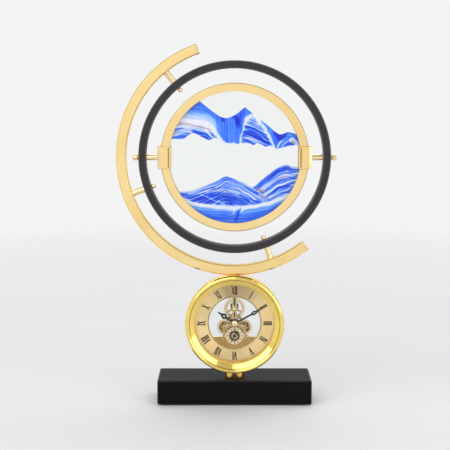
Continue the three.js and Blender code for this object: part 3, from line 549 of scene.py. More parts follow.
def solid_from(curve, centre):
    """The mesh of a flat curve or of lettering, stood up to face -Y."""
    carrier = bpy.data.objects.new("carrier", curve)
    bpy.context.scene.collection.objects.link(carrier)
    mesh = mesh_from(carrier)
    for vertex in mesh.verts:
        x, z, depth = vertex.co
        vertex.co = (centre + Vector((x, -depth, z))) * MM
    return cleaned(mesh)


def cut_sheet(loops, front, back, ease, centre=CLOCK):
    """A mesh cut from flat sheet that faces -Y. The first loop is its outline and the rest are holes."""
    curve = bpy.data.curves.new("cutting", "CURVE")
    curve.dimensions = "2D"
    curve.fill_mode = "BOTH"
    curve.extrude = (back - front) / 2 - ease
    curve.bevel_depth = ease
    curve.bevel_resolution = 1
    curve.offset = -ease
    for loop in loops:
        spline = curve.splines.new("POLY")
        spline.points.add(len(loop) - 1)
        for point, (x, z) in zip(spline.points, loop):
            point.co = (x, z, 0, 1)
        spline.use_cyclic_u = True
    return solid_from(curve, centre + Y * ((front + back) / 2))


def turn_about(mesh, centre, degrees):
    """Turns a mesh clockwise, as seen from the front, about an axis along Y."""
    turn = Matrix.Rotation(math.radians(degrees), 3, "Y")
    bmesh.ops.rotate(mesh, verts=mesh.verts, cent=centre * MM, matrix=turn)
    return mesh


# Pieces


def piece(name, mesh, slot, body, *nodes, finish=None):
    """Makes the object for a mesh. It rides on the body and stands for the CAD nodes named."""
    made = object_from(mesh, name)
    made.data.materials.append(FINISHES[finish or slot])
    made.data.shade_smooth()
    made.data.set_sharp_from_angle(angle=SHARP_ANGLE)
    made.modifiers.new("even_shading", "WEIGHTED_NORMAL").keep_sharp = True
    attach(made, body)
    if nodes:
        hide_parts(*nodes)
    return made


def soften(made, width):
    """Eases the sharp edges of an object without changing its mesh."""
    ease = made.modifiers.new("eased_edges", "BEVEL")
    ease.width = width * MM
    ease.segments = 2
    ease.limit_method = "ANGLE"
    ease.angle_limit = math.radians(40)


def repaint(made, slot, belongs):
    """Gives a second finish to the faces whose middle and normal pass a test."""
    made.data.materials.append(FINISHES[slot])
    second = len(made.data.materials) - 1
    for face in made.data.polygons:
        if belongs(face.center / MM, face.normal):
            face.material_index = second


def is_slanted(point, normal):
    """True on a chamfer, whose normal leans between two axes."""
    return sorted(abs(value) for value in normal)[1] > 0.3


def is_chamfer(point, normal):
    """True on the eased edge between a front or rear face and a side."""
    return 0.3 < abs(normal.y) < 0.95


def from_axis(point, centre):
    return math.hypot(point.x - centre.x, point.z - centre.z)


# Camera, from the fit to the photo

camera_data = bpy.data.cameras.new("camera")
camera_data.sensor_width = 36
camera_data.lens = 90.6
camera = bpy.data.objects.new("camera", camera_data)
camera.location = Vector((-9.5, -1200.5, 331)) * MM
camera.rotation_euler = (math.radians(90 - 6.70), 0, math.radians(0.03))
bpy.context.scene.collection.objects.link(camera)
bpy.context.scene.camera = camera

# Base and pegs

PEG_TOP = CLOCK.z - CASE_RADIUS + 3
PEG_GAP = 0.2


def base_block():
    half = BASE["width"] / 2
    deep = BASE["depth"] / 2
    mesh = prism(oblong(-half, half, -deep, deep), BASE["bottom"], BASE["top"], Vector(), UPRIGHT_AXES)
    bevelled(mesh, mesh.edges, BASE["edge"], 1)
    return bevelled(mesh, mesh.edges, 0.25, 3)


def is_long_and_level(edge):
    low, high = sorted(vertex.co.z for vertex in edge.verts)
    return edge.calc_length() > 3 * MM and high - low < HAIRLINE_METRES


def peg(side):
    """A turned peg with a groove under its head. Its top is hollowed to the case's curve."""
    r = PEG["radius"]
    floor = r - PEG["depth"]
    groove = [(out, z, 0.1) for out, z in zip((r, floor, floor, r), PEG["groove"])]
    outline = [(0, PEG["foot"], 0), (r, PEG["foot"], 0.3), *groove, (r, PEG_TOP, 0), (0, PEG_TOP, 0)]
    mesh = turned(eased(outline, 0.2, 3), Vector((PEG["x"] * side, PICTURE.y, 0)), UPRIGHT_AXES, 64)
    bmesh.ops.subdivide_edges(mesh, edges=[edge for edge in mesh.edges if is_long_and_level(edge)], cuts=3)
    for vertex in mesh.verts:
        if abs(vertex.co.z - PEG_TOP * MM) < HAIRLINE_METRES:
            across = vertex.co.x / MM
            vertex.co.z = (CLOCK.z - math.sqrt((CASE_RADIUS + PEG_GAP) ** 2 - across ** 2)) * MM
    return mesh


base = piece("base_body", base_block(), "black_paint", "stand", "base_block")
# The base's chamfers are painted lighter: a painted highlight along its edges.
repaint(base, "paint_edge", is_slanted)
for name, side in SIDES.items():
    piece("peg_" + name, peg(side), "movement_brass", "stand", "spacer_peg_" + name, finish="peg_brass")

# Clock case, bezel, glass and dial

CASE_OUTLINE = [(CASE_RADIUS, -7), (CASE_RADIUS, 11), (47.2, 11), (47.2, -1.3), (38, -1.3), (38, -2.8),
                (47.2, -2.8), (47.2, -7)]
GROOVE_INNER = 47.3
GROOVE_OUTER = 48.0
BEZEL_MIDDLE = -12
BEZEL_OUTLINE = [(BEZEL_OPENING, -10.4), (BEZEL_OPENING, -10.9), (GROOVE_INNER, -13.95, 0.05),
                 (GROOVE_INNER + 0.1, -13.3, 0.05), (GROOVE_OUTER - 0.1, -13.3, 0.05),
                 (GROOVE_OUTER, -14.2, 0.2), (49.6, -15, 1.0), (51.2, -14.2, 1.6), (52.2, -12.4, 2),
                 (52.5, -10.4, 2), (52.1, -8.4, 1.6), (51.2, -7.2), (46.9, -7.2), (46.9, -4.4), (45.2, -4.4),
                 (45.2, -10.4)]
DIAL_BEVEL = 28.7
DIAL_OUTLINE = [(46.6, -3), (46.6, DIAL_FRONT), (DIAL_BEVEL, DIAL_FRONT), (27.7, -2.7), (27.7, -1.4),
                (31.5, -1.4), (31.5, -3)]
GLASS_OUTLINE = oblong(0, GLASS_RADIUS, -10.2, -8.6)
SPACER_OUTLINE = oblong(BEZEL_OPENING + 0.4, GLASS_RADIUS, -8.4, -4.1)
SMALL_DIAL_OUTLINE = [(1.2, -1.6), (5.5, -1.6), (5.7, SMALL_DIAL_FRONT), (9.3, SMALL_DIAL_FRONT), (9.5, -1.8),
                      (9.5, -1.3), (1.2, -1.3)]
SMALL_DIAL_FLOOR = 5.6


def in_bezel_groove_painted_shade(point, normal):
    return GROOVE_INNER < from_axis(point, CLOCK) < GROOVE_OUTER and point.y - CLOCK.y < BEZEL_MIDDLE


piece("case_drum", lathe(CASE_OUTLINE, 0.3, CLOCK), "polished_gold", "stand", "clock_case")
bezel = piece("bezel_ring", lathe(BEZEL_OUTLINE, 0.35, CLOCK), "polished_gold", "stand", "bezel")
# The floor of the bezel's groove is painted dark brass: painted shade in the groove.
repaint(bezel, "plate_brass", in_bezel_groove_painted_shade)
piece("dial_glass", lathe(GLASS_OUTLINE, 0.25, CLOCK), "clear_glass", "stand", "front_glass")
piece("spacer_ring", lathe(SPACER_OUTLINE, 0.15, CLOCK), "polished_gold", "stand", "dial_spacer")
dial = piece("hour_dial", lathe(DIAL_OUTLINE, 0.12, CLOCK), "champagne_dial", "stand", "dial_ring")
# The dial's inner bevel is painted pale: a painted highlight round the opening.
repaint(dial, "bright_edge", lambda point, normal: from_axis(point, CLOCK) < DIAL_BEVEL)
small_dial = lathe(SMALL_DIAL_OUTLINE, 0.06, SECONDS_CENTRE)
small_dial = piece("small_dial", small_dial, "cream_paint", "stand", "seconds_dial")
repaint(small_dial, "dark_bronze", lambda point, normal: from_axis(point, SECONDS_CENTRE) < SMALL_DIAL_FLOOR)

# Numerals of the dial, standing round it with their heads outward, and the marks of the small dial

NUMERALS = ("I", "II", "III", "IV", "V", "VI", "VII", "VIII", "IX", "X", "XI", "XII")
LETTER_WIDTHS = {"I": 1.5, "V": 3.2, "X": 3.3}
LETTER_MARGIN = 0.35
LETTER = {"foot": 30.7, "height": 8.8, "thick": 1.1, "thin": 0.7, "serif": 0.4, "overhang": 0.2,
          "relief": 0.1}
HAIR = 0.01
SUNK = 0.05
SMALL_MARKS = {"outer": 9.1, "front": SMALL_DIAL_FRONT - 0.06, "back": SMALL_DIAL_FRONT + 0.04}
LONG_MARK = {"inner": 8.3, "width": 0.34}
SHORT_MARK = {"inner": 8.6, "width": 0.12}
SMALL_FIGURES = {"radius": 7.0, "large": 2.4, "small": 1.8, "bold": 0.05, "front": SMALL_DIAL_FRONT - 0.02}
COIL = {"inner": 1.6, "outer": 3.5, "turns": 2, "width": 0.5, "front": -1.8, "back": -1.55}


def dial_point(degrees, across, out):
    """A point out along a clock angle and across it."""
    right, up = polar(1, degrees)
    return (across * right + out * up, out * right - across * up)


def letter_strokes(letter, x):
    """Strokes of a letter centred at x: slanted bars with their serifs."""
    height, thick, thin, serif = (LETTER[key] for key in ("height", "thick", "thin", "serif"))
    half = LETTER_WIDTHS[letter] / 2 - LETTER_MARGIN
    slants = {
        "I": [(x, x, thick)],
        "V": [(x, x - half, thick), (x, x + half, thin)],
        "X": [(x + half, x - half, thick), (x - half, x + half, thin)],
    }[letter]
    strokes = []
    for foot, head, width in slants:
        w = width / 2
        s = w + LETTER["overhang"]
        strokes.append([(foot - w, 0), (foot + w, 0), (head + w, height), (head - w, height)])
        strokes.append(oblong(head - s, head + s, height - serif, height))
        if letter != "V":
            strokes.append(oblong(foot - s, foot + s, 0, serif))
    return strokes


def numerals():
    """The twelve numerals. Each stroke lies a hair off the one before it."""
    mesh = bmesh.new()
    for hour, word in enumerate(NUMERALS, 1):
        x = -sum(LETTER_WIDTHS[letter] for letter in word) / 2
        strokes = []
        for letter in word:
            strokes += letter_strokes(letter, x + LETTER_WIDTHS[letter] / 2)
            x += LETTER_WIDTHS[letter]
        for layer, stroke in enumerate(strokes):
            corners = [dial_point(30 * hour, a, LETTER["foot"] + b) for a, b in stroke]
            front = DIAL_FRONT - LETTER["relief"] - HAIR * (layer % 3)
            prism(corners, front, DIAL_FRONT + SUNK, CLOCK, CLOCK_AXES, mesh)
    return mesh


def small_marks():
    mesh = bmesh.new()
    for second in range(60):
        mark = SHORT_MARK if second % 5 else LONG_MARK
        half = mark["width"] / 2
        outline = oblong(-half, half, mark["inner"], SMALL_MARKS["outer"])
        corners = [dial_point(6 * second, a, b) for a, b in outline]
        prism(corners, SMALL_MARKS["front"], SMALL_MARKS["back"], SECONDS_CENTRE, CLOCK_AXES, mesh)
    return mesh


def figure(text, x, z, size):
    """Printed figures as thin lettering, centred at a point of the small dial."""
    curve = bpy.data.curves.new("figure", "FONT")
    curve.body = text
    curve.size = size
    curve.align_x = "CENTER"
    curve.align_y = "CENTER"
    curve.extrude = SUNK
    curve.offset = SMALL_FIGURES["bold"]
    curve.resolution_u = 4
    return solid_from(curve, SECONDS_CENTRE + Vector((x, SMALL_FIGURES["front"], z)))


def small_figures():
    """A mark for every second and a figure for every fifth, with the sixty and the thirty larger."""
    figures = []
    for step in range(1, 13):
        place = dial_point(30 * step, 0, SMALL_FIGURES["radius"])
        figures.append(figure(str(5 * step), *place, SMALL_FIGURES["small" if step % 6 else "large"]))
    return merged(small_marks(), *figures)


def coil():
    """A flat spiral strip on the floor of the small dial."""
    steps = 40 * COIL["turns"]
    spread = COIL["outer"] - COIL["inner"]
    sides = []
    for offset in (-COIL["width"] / 2, COIL["width"] / 2):
        radii = [COIL["inner"] + spread * step / steps + offset for step in range(steps + 1)]
        sides.append([polar(r, 360 * COIL["turns"] * step / steps) for step, r in enumerate(radii)])
    return cut_sheet([sides[0] + sides[1][::-1]], COIL["front"], COIL["back"], 0.04, SECONDS_CENTRE)


piece("hour_numerals", numerals(), "hand_black", "stand", finish="print_black")
piece("small_dial_marks", small_figures(), "hand_black", "stand", finish="print_black")
piece("small_dial_coil", coil(), "polished_gold", "stand", finish="stud_gold")

# Wheels of the movement. Each pair has the same teeth and the same places as in the solids.

SIDE_DISTANCE = 11.3
SIDE_DEGREES = {-1: 207.8, 1: -27.8}
TEETH = {"side": 30, "side_driver": 10, "pinion": 8, "hour": 32, "top": 33, "top_driver": 12}
SIDE_MODULE = 2 * SIDE_DISTANCE / (TEETH["side"] + TEETH["side_driver"])
TOP_MODULE = 2 * TOP_WHEEL_Z / (TEETH["top"] + TEETH["top_driver"])
# Number of spokes, radii of hub and rim, width of a spoke, angle of the first
SPOKES = {"side": (5, 2.8, 6.2, 1.7, 45), "hour": (4, 3.6, 6.9, 1.4, 45), "top": (3, 2.8, 7.7, 2.0, 90)}
SIDE_BEND = 50
LAYERS = {"hour": (0.5, 1.3), "minute": (1.7, 2.5), "setting": (2.9, 3.7)}
# Corners of a tooth: modules out from the pitch circle and shares of the pitch along it
TOOTH = ((-1.2, -0.34), (0.5, -0.1), (0.5, 0.1), (-1.2, 0.34))
# Radius, front and back of what is turned on each arbor
SHAFTS = {
    "side_hub": (1.9, 1.45, 2.75), "side_pivot": (0.7, PLATE["front"] - 0.25, REAR_PLATE["back"]),
    "top_hub": (2.2, 2.5, 4.2), "top_pivot": (0.7, PLATE["front"] - 0.25, 3), "top_stem": (1.4, 2.9, 14),
    "top_cap": (1.3, -1.75, -1.25),
}
PINION_DEPTHS = (0.5, 1.8)
HOUR_BORE = 2.3
RIM = {"proud": 0.15, "sunk": 0.1, "side": (6.5, 7.7), "top": (8.6, 10.0)}
WEB_OUTLINE = oblong(0.6, 6.8, 1.95, 2.25)
PIPE_OUTLINE = oblong(1.6, 2.5, -5.2, 1.3)


def at_clock(x, z):
    return CLOCK + Vector((x, 0, z))


def side_point(side):
    return polar(SIDE_DISTANCE, SIDE_DEGREES[side])


def mesh_phase(teeth, degrees, mate_teeth):
    """The turn that puts a gap of the mate on a tooth of a wheel whose first tooth points right."""
    return degrees + 180 - (0.5 - degrees * teeth / 360) * 360 / mate_teeth


def gear(teeth, module, phase):
    """The outline of a wheel with short narrow teeth."""
    points = []
    for tooth in range(teeth):
        for rise_by, share in TOOTH:
            points.append(polar((teeth / 2 + rise_by) * module, phase + (tooth + share) * 360 / teeth))
    return points


def windows(spokes, hub, rim, width, first, bend):
    """Openings between a wheel's spokes. The spokes bend round by some degrees on their way out."""
    loops = []
    for spoke in range(spokes):
        start = first + 360 * spoke / spokes
        end = start + 360 / spokes
        near_side, far_side = [], []
        for share in np.linspace(0, 1, 9):
            r = hub + (rim - hub) * share
            half = math.degrees(width / 2 / r)
            near_side.append((r, start + half + bend * share))
            far_side.append((r, end - half + bend * share))
        outer = [(rim, angle) for angle in np.linspace(near_side[-1][1], far_side[-1][1], 17)[1:-1]]
        inner = [(hub, angle) for angle in np.linspace(far_side[0][1], near_side[0][1], 9)[1:-1]]
        loops.append([polar(*place) for place in near_side + outer + far_side[::-1] + inner])
    return loops


def shaft(radius, front, back, centre):
    return lathe(oblong(0, radius, front, back), 0.12, centre, 32)


def side_wheel(side):
    centre = at_clock(*side_point(side))
    phase = mesh_phase(TEETH["side_driver"], SIDE_DEGREES[side], TEETH["side"])
    loops = [gear(TEETH["side"], SIDE_MODULE, phase)] + windows(*SPOKES["side"], SIDE_BEND * side)
    shafts = [shaft(*SHAFTS[key], centre) for key in ("side_hub", "side_pivot")]
    return merged(cut_sheet(loops, *LAYERS["minute"], 0.08, centre), *shafts)


def left_pinion():
    outline = gear(TEETH["pinion"], SIDE_MODULE, 0)
    return cut_sheet([outline], *PINION_DEPTHS, 0.05, at_clock(*side_point(-1)))


def hour_wheel():
    phase = mesh_phase(TEETH["pinion"], SIDE_DEGREES[-1] + 180, TEETH["hour"])
    loops = [gear(TEETH["hour"], SIDE_MODULE, phase)] + windows(*SPOKES["hour"], 0) + [circle(HOUR_BORE, 32)]
    return merged(cut_sheet(loops, *LAYERS["hour"], 0.08), lathe(PIPE_OUTLINE, 0.1, CLOCK, 32))


def top_wheel():
    phase = mesh_phase(TEETH["top_driver"], 90, TEETH["top"])
    loops = [gear(TEETH["top"], TOP_MODULE, phase)] + windows(*SPOKES["top"], 0)
    shafts = [shaft(*SHAFTS[key], TOP_CENTRE) for key in ("top_hub", "top_pivot", "top_stem")]
    return merged(cut_sheet(loops, *LAYERS["setting"], 0.1, TOP_CENTRE), *shafts)


def wheel_rim(centre, kind, layer):
    """A polished ring that stands a little proud of a wheel's face."""
    face = LAYERS[layer][0]
    return lathe(oblong(*RIM[kind], face - RIM["proud"], face + RIM["sunk"]), 0.08, centre, 72)


def brass_piece(name, mesh, finish, body, *nodes):
    """A piece of the movement, in one of several finishes."""
    return piece(name, mesh, "movement_brass", body, *nodes, finish=finish)


brass_piece("wheel_left", merged(side_wheel(-1), left_pinion()), "pale_brass", "motion_wheel", "left_wheel")
brass_piece("wheel_right", side_wheel(1), "pale_brass", "relay_wheel", "right_wheel")
brass_piece("wheel_hour", hour_wheel(), "pale_brass", "hour_train", "hour_wheel")
brass_piece("wheel_top", top_wheel(), "pale_brass", "setting", "setting_wheel")
brass_piece("wheel_rim_top", wheel_rim(TOP_CENTRE, "top", "setting"), "stud_gold", "setting")
for name, body in {"left": "motion_wheel", "right": "relay_wheel"}.items():
    centre = at_clock(*side_point(SIDES[name]))
    # The side wheels' webs are darkened in colour: painted shade behind the spokes.
    brass_piece("web_" + name, lathe(WEB_OUTLINE, 0.05, centre, 72), "web_bronze", body)
    brass_piece("wheel_rim_" + name, wheel_rim(centre, "side", "minute"), "stud_gold", body)

# Plates of the movement. Bars and bosses stand a hair proud of what they cross.

CRESCENT = {"top": -14.7, "radius": 28}
SLOTS = [((0, 19), (0, 26), 1.8), ((0, 6.4), (0, 10.8), 1.3)]
# A dark sheet part way into each slot of the bar: painted shade in the slots
SLOT_SHADE_SHEET = {"front": -0.55, "back": -0.2, "wider": 0.5}
# Width of each bar, or radius and steps of each boss, and how far it stands proud
BARS = {"slotted": (4.6, 0.03), "arm": (3, 0.05), "foot": (2.6, 0.07), "rear": (5, 0.03)}
BOSSES = {"centre": (5, 64, 0.12), "top": (3, 48, 0.1), "seconds": (8, 72, 0.08), "side": (2.8, 48, 0.1),
          "rear": (4, 56, 0.08)}
FOOT_X = 12
NUT = {"radius": 2.6, "front": 7.3, "back": 8.0, "x": 34.44, "z": 16.06}
# How far the painted highlight on the plate's edges reaches below the crescent's top and inside and outside
# the ring's inner edge
FIELD_EDGE = {"below": 0.6, "inside": 0.1, "outside": 0.5}


def plate_pieces(shapes, plate, ease):
    """Sheets in one plate. Each shape is its loops and how far it stands proud."""
    sheets = []
    for loops, proud in shapes:
        sheets.append(cut_sheet(loops, plate["front"] - proud, plate["back"] + proud, ease))
    return merged(*sheets)


def bar_shape(kind, start, end, *holes):
    width, proud = BARS[kind]
    return ([bar(start, end, width), *holes], proud)


def boss_shape(kind, x=0, z=0):
    radius, steps, proud = BOSSES[kind]
    return ([circle(radius, steps, x, z)], proud)


def side_arms():
    """Arms from the middle to the pivots of the side wheels, with a boss at each pivot."""
    shapes = []
    for side in SIDES.values():
        pivot = side_point(side)
        shapes += [bar_shape("arm", (0, 0), pivot), boss_shape("side", *pivot)]
    return shapes


def front_bars():
    slots = [bar(*slot) for slot in SLOTS]
    shapes = [bar_shape("slotted", (0, 0), (0, PLATE["inner"] + 1), *slots), boss_shape("centre"),
              boss_shape("top", 0, TOP_WHEEL_Z), boss_shape("seconds", 0, SECONDS_Z)]
    for side in SIDES.values():
        shapes.append(bar_shape("foot", side_point(side), (side * FOOT_X, CRESCENT["top"] - 2)))
    return plate_pieces(shapes + side_arms(), PLATE, 0.42)


def slot_shade_sheets():
    loops = [bar(start, end, width + SLOT_SHADE_SHEET["wider"]) for start, end, width in SLOTS]
    return merged(*(cut_sheet([loop], SLOT_SHADE_SHEET["front"], SLOT_SHADE_SHEET["back"], 0.05) for loop in loops))


def front_field():
    """The ring behind the dial, and the crescent that fills its lower part."""
    chord = math.degrees(math.asin(-CRESCENT["top"] / CRESCENT["radius"]))
    crescent = arc_points(CRESCENT["radius"], 180 + chord, 360 - chord)
    ring_loops = [circle(PLATE["outer"]), circle(PLATE["inner"])]
    return plate_pieces([(ring_loops, 0), ([crescent], 0.02)], PLATE, 0.45)


def is_painted_highlight_edge(point, normal):
    """True along the ring's inner edge and the crescent's upper edge, which are painted pale as a highlight.
    """
    from_edge = from_axis(point, CLOCK) - PLATE["inner"]
    on_ring = -FIELD_EDGE["inside"] < from_edge < FIELD_EDGE["outside"]
    return point.z - CLOCK.z > CRESCENT["top"] - FIELD_EDGE["below"] and (on_ring or normal.z > 0.3)


def rear_bars():
    """The rear plate, which is open below where the cell lies."""
    outer, inner, cut = (REAR_PLATE[key] for key in ("outer", "inner", "cut"))
    low_out, low_in = (math.degrees(math.asin(-cut / radius)) for radius in (outer, inner))
    edge = arc_points(outer, -low_out, 180 + low_out, 96) + arc_points(inner, 180 + low_in, -low_in, 96)
    shapes = [([edge], 0), bar_shape("rear", (0, 0), (0, inner + 1)), boss_shape("rear"),
              boss_shape("rear", 0, TOP_WHEEL_Z)]
    return plate_pieces(shapes + side_arms(), REAR_PLATE, 0.18)


def pillar_nuts():
    places = [at_clock(side * NUT["x"], NUT["z"]) for side in SIDES.values()]
    return merged(*(shaft(NUT["radius"], NUT["front"], NUT["back"], place) for place in places))


field = brass_piece("plate_field", front_field(), "plate_brass", "stand", "front_plate")
# The plate's inner edge and the crescent's top are painted pale: a painted highlight.
repaint(field, "bright_edge", is_painted_highlight_edge)
bars = brass_piece("plate_bars", front_bars(), "bridge_brass", "stand")
# The bars' chamfers are painted pale gold: a painted highlight along their edges.
repaint(bars, "stud_gold", is_chamfer)
# Dark sheets in the bar's slots: painted shade.
brass_piece("plate_slot_shade", slot_shade_sheets(), "dark_bronze", "stand")
brass_piece("plate_rear", rear_bars(), "pearled_bronze", "stand", "rear_plate")
brass_piece("pillar_nuts", pillar_nuts(), "stud_gold", "stand")
# The pivot cap is painted pale: a painted highlight on the pivot.
brass_piece("pivot_cap", shaft(*SHAFTS["top_cap"], TOP_CENTRE), "bright_edge", "setting")

# Hands, drawn pointing to twelve and then turned

HAND_THICKNESS = 0.4
HANDS = {
    "minute": {
        "blade": [(1.2, 2.53), (1.0, 12)],
        "bow": [(0.9, 19), (1.15, 20.4), (2, 22.4), (2.3, 23.6), (1.8, 25.4), (1.05, 27.4), (0.85, 29)],
        "tip": (0.3, 38.5), "eye": (22.2, 23.6, 25.2, 0.5),
        "hub": 2.8, "bore": 1.5, "front": -6, "degrees": 61,
    },
    "hour": {
        "blade": [(1.4, 3.74), (1.15, 7)],
        "bow": [(1.1, 9.4), (1.4, 10.4), (2.7, 12.4), (3, 13.6), (2.5, 15.2), (1.3, 17.2), (1, 18.4)],
        "tip": (0.3, 22), "eye": (12.2, 13.6, 15, 0.7),
        "hub": 4, "bore": 2.7, "front": -4.9, "degrees": 305,
    },
}
NEEDLE = {"half": 0.36, "neck": 1.03, "tip": (0.1, 8.8), "hub": 1.1, "tail": -3, "degrees": 214}
NEEDLE_RING = {"z": -4.4, "outer": 1.5, "inner": 0.8}
NEEDLE_DEPTHS = (-2.8, -2.5)
NEEDLE_POST_OUTLINE = oblong(0, 0.7, -2.6, 5)
CAP_OUTLINE = [(0, -8.2), (1.6, -8, 1.2), (2.8, -7.3, 1.2), (3.5, -6.5, 0.4), (3.6, -6.2, 0.1), (0, -6.2)]


def hand_loop(half, hub):
    """The outline of a hand: its right side up to the tip, its left side down, and round its hub."""
    right = [tuple(point) for point in half]
    left = [(-x, z) for x, z in reversed(right)]
    neck = math.degrees(math.asin(right[0][0] / hub))
    return right + left + arc_points(hub, 90 + neck, 450 - neck)[1:-1]


def leaf(foot, middle, tip, half):
    """A pointed oval opening."""
    side = smooth([(0, foot), (half * 0.8, foot + (middle - foot) * 0.55), (half, middle),
                   (half * 0.6, middle + (tip - middle) * 0.5), (0, tip)], 6)
    return [tuple(point) for point in side] + [(-x, z) for x, z in reversed(side[1:-1])]


def hand(blade, bow, tip, hub, bore, eye, front, degrees):
    """A flat hand with an oval bow, pierced by a leaf-shaped eye."""
    loops = [hand_loop(blade + smooth(bow, 6) + [tip], hub), leaf(*eye), circle(bore, 24)]
    return turn_about(cut_sheet(loops, front, front + HAND_THICKNESS, 0.08), CLOCK, degrees)


def seconds_hand():
    half, neck, z = NEEDLE["half"], NEEDLE["neck"], NEEDLE_RING["z"]
    front, back = NEEDLE_DEPTHS
    needle = hand_loop([(half, neck), NEEDLE["tip"]], NEEDLE["hub"])
    tail = oblong(-half, half, NEEDLE["tail"], -neck)
    ring = [circle(NEEDLE_RING["outer"], 32, 0, z), circle(NEEDLE_RING["inner"], 24, 0, z)]
    mesh = merged(cut_sheet([needle], front, back, 0.05, SECONDS_CENTRE),
                  cut_sheet([tail], front + HAIR, back - HAIR, 0.05, SECONDS_CENTRE),
                  cut_sheet(ring, front, back, 0.05, SECONDS_CENTRE),
                  lathe(NEEDLE_POST_OUTLINE, 0.05, SECONDS_CENTRE, 24))
    return turn_about(mesh, SECONDS_CENTRE, NEEDLE["degrees"])


for name, shape in HANDS.items():
    piece("hand_" + name, hand(**shape), "hand_black", name + "_train", name + "_hand")
piece("hand_seconds", seconds_hand(), "hand_black", "seconds_train", "seconds_hand")
cap = lathe(CAP_OUTLINE, 0.2, CLOCK)
piece("hand_cap", cap, "satin_gold", "minute_train", "centre_cap", finish="stud_gold")

# Quartz movement with its cell tray, contacts and cell

HOUSING = {"half": 23, "top": -16.6, "bottom": -21.4, "corner": 2, "front": 3, "back": 9, "lobe": 4}
POST = {"radius": 2, "x": 19, "z": -18.5, "front": 0.15}
TRAY = {"half": 25.5, "top": -21, "bottom": -33.4, "front": 0.3, "back": 8}
CELL = CLOCK + Vector((0, 6.2, -27.2))
CELL_RADIUS = 5.1
CELL_SPACE = {"reach": 23.1, "radius": 5.25}
CELL_OUTLINE = [(0, -21.7), (4.7, -21.7), (CELL_RADIUS, -21.3), (CELL_RADIUS, 19.4), (4.95, 19.6),
                (4.95, 19.9), (CELL_RADIUS, 20.1), (CELL_RADIUS, 21.3), (4.7, 21.7), (1.9, 21.7), (1.9, 22.7),
                (0, 22.7)]
SLEEVE_END = 21.2
CONTACT = {"front": -3.6, "back": 2.2, "half": 3.4, "near": 0.3, "far": 0.05}


def motor():
    half, top, bottom, corner = (HOUSING[key] for key in ("half", "top", "bottom", "corner"))
    outline = eased([(-half, bottom), (half, bottom), (half, top - corner), (half - corner, top),
                     (-half + corner, top), (-half, top - corner)], 0.8)
    posts = [shaft(POST["radius"], POST["front"], HOUSING["front"] + 1, at_clock(side * POST["x"], POST["z"]))
             for side in SIDES.values()]
    case = cut_sheet([outline], HOUSING["front"], HOUSING["back"], 0.4)
    lobe = shaft(HOUSING["lobe"], HOUSING["front"] + 0.1, HOUSING["back"] + 0.3, SECONDS_CENTRE)
    return merged(case, lobe, *posts)


def cell_tray():
    reach = CELL_SPACE["reach"]
    radius = CELL_SPACE["radius"]
    outline = oblong(-TRAY["half"], TRAY["half"], TRAY["front"], TRAY["back"])
    walls = prism(outline, TRAY["bottom"], TRAY["top"], CLOCK, UPRIGHT_AXES)
    trough = turned(oblong(0, radius, -reach, reach), CELL, LENGTHWAYS, 48)
    mouth = prism(oblong(-reach, reach, 0, TRAY["back"]), -radius, radius, CELL, UPRIGHT_AXES)
    return drilled(walls, trough, mouth)


def contacts():
    """A springy plate at each end of the cell."""
    mesh = bmesh.new()
    for side in SIDES.values():
        ends = sorted(side * (CELL_SPACE["reach"] - CONTACT[key]) for key in ("near", "far"))
        outline = oblong(*ends, CONTACT["front"], CONTACT["back"])
        prism(outline, -CONTACT["half"], CONTACT["half"], CELL, UPRIGHT_AXES, mesh)
    return mesh


piece("movement_case", motor(), "black_plastic", "stand", "movement_housing")
soften(piece("cell_tray", cell_tray(), "black_plastic", "stand"), 0.3)
piece("cell_contacts", contacts(), "screw_steel", "stand")
cell = piece("cell", lathe(CELL_OUTLINE, 0.15, CELL, 64, LENGTHWAYS), "cell_sleeve", "stand", "battery")
repaint(cell, "screw_steel", lambda point, normal: abs(point.x) > SLEEVE_END)

# Rear cover and setting knob

REAR_OUTLINE = [(45.2, 8.6), (46.8, 8.6), (46.8, 11.2), (CASE_RADIUS, 11.2), (CASE_RADIUS, 13.2),
                (CASE_RADIUS - 1.2, 14.4, 0.8), (43, 14.4, 0.5), (43, 13.3), (45.2, 13.3)]
REAR_GLASS = {"front": 11.5, "back": 13.1, "hole": 6}
KNOB = {"radius": 4.6, "flutes": 8, "depth": 0.6, "front": 10.8, "back": 16.6}
KNOB_FACE_OUTLINE = [(0, 16.4), (2.9, 16.4), (2.9, 16.9), (2.4, 17.1), (0, 17.1)]


def rear_glass():
    loops = [circle(GLASS_RADIUS), circle(REAR_GLASS["hole"], 48, 0, TOP_WHEEL_Z)]
    return cut_sheet(loops, REAR_GLASS["front"], REAR_GLASS["back"], 0.2)


def setting_knob():
    """A knob with shallow flutes for the fingers and a raised face."""
    outline = []
    for step in range(KNOB["flutes"] * 12):
        degrees = 30 * step / KNOB["flutes"]
        cut = max(0.0, math.cos(math.radians(KNOB["flutes"] * degrees))) ** 3
        outline.append(polar(KNOB["radius"] - KNOB["depth"] * cut, degrees))
    grip = cut_sheet([outline], KNOB["front"], KNOB["back"], 0.35, TOP_CENTRE)
    return merged(grip, lathe(KNOB_FACE_OUTLINE, 0.15, TOP_CENTRE, 40))


piece("cover_ring", lathe(REAR_OUTLINE, 0.3, CLOCK), "polished_gold", "rear_cover", "rear_bezel")
piece("cover_glass", rear_glass(), "clear_glass", "rear_cover", "rear_glass")
piece("knob_setting", setting_knob(), "black_plastic", "setting", "setting_knob")

# Arc, its end caps, the black ring and the standoffs

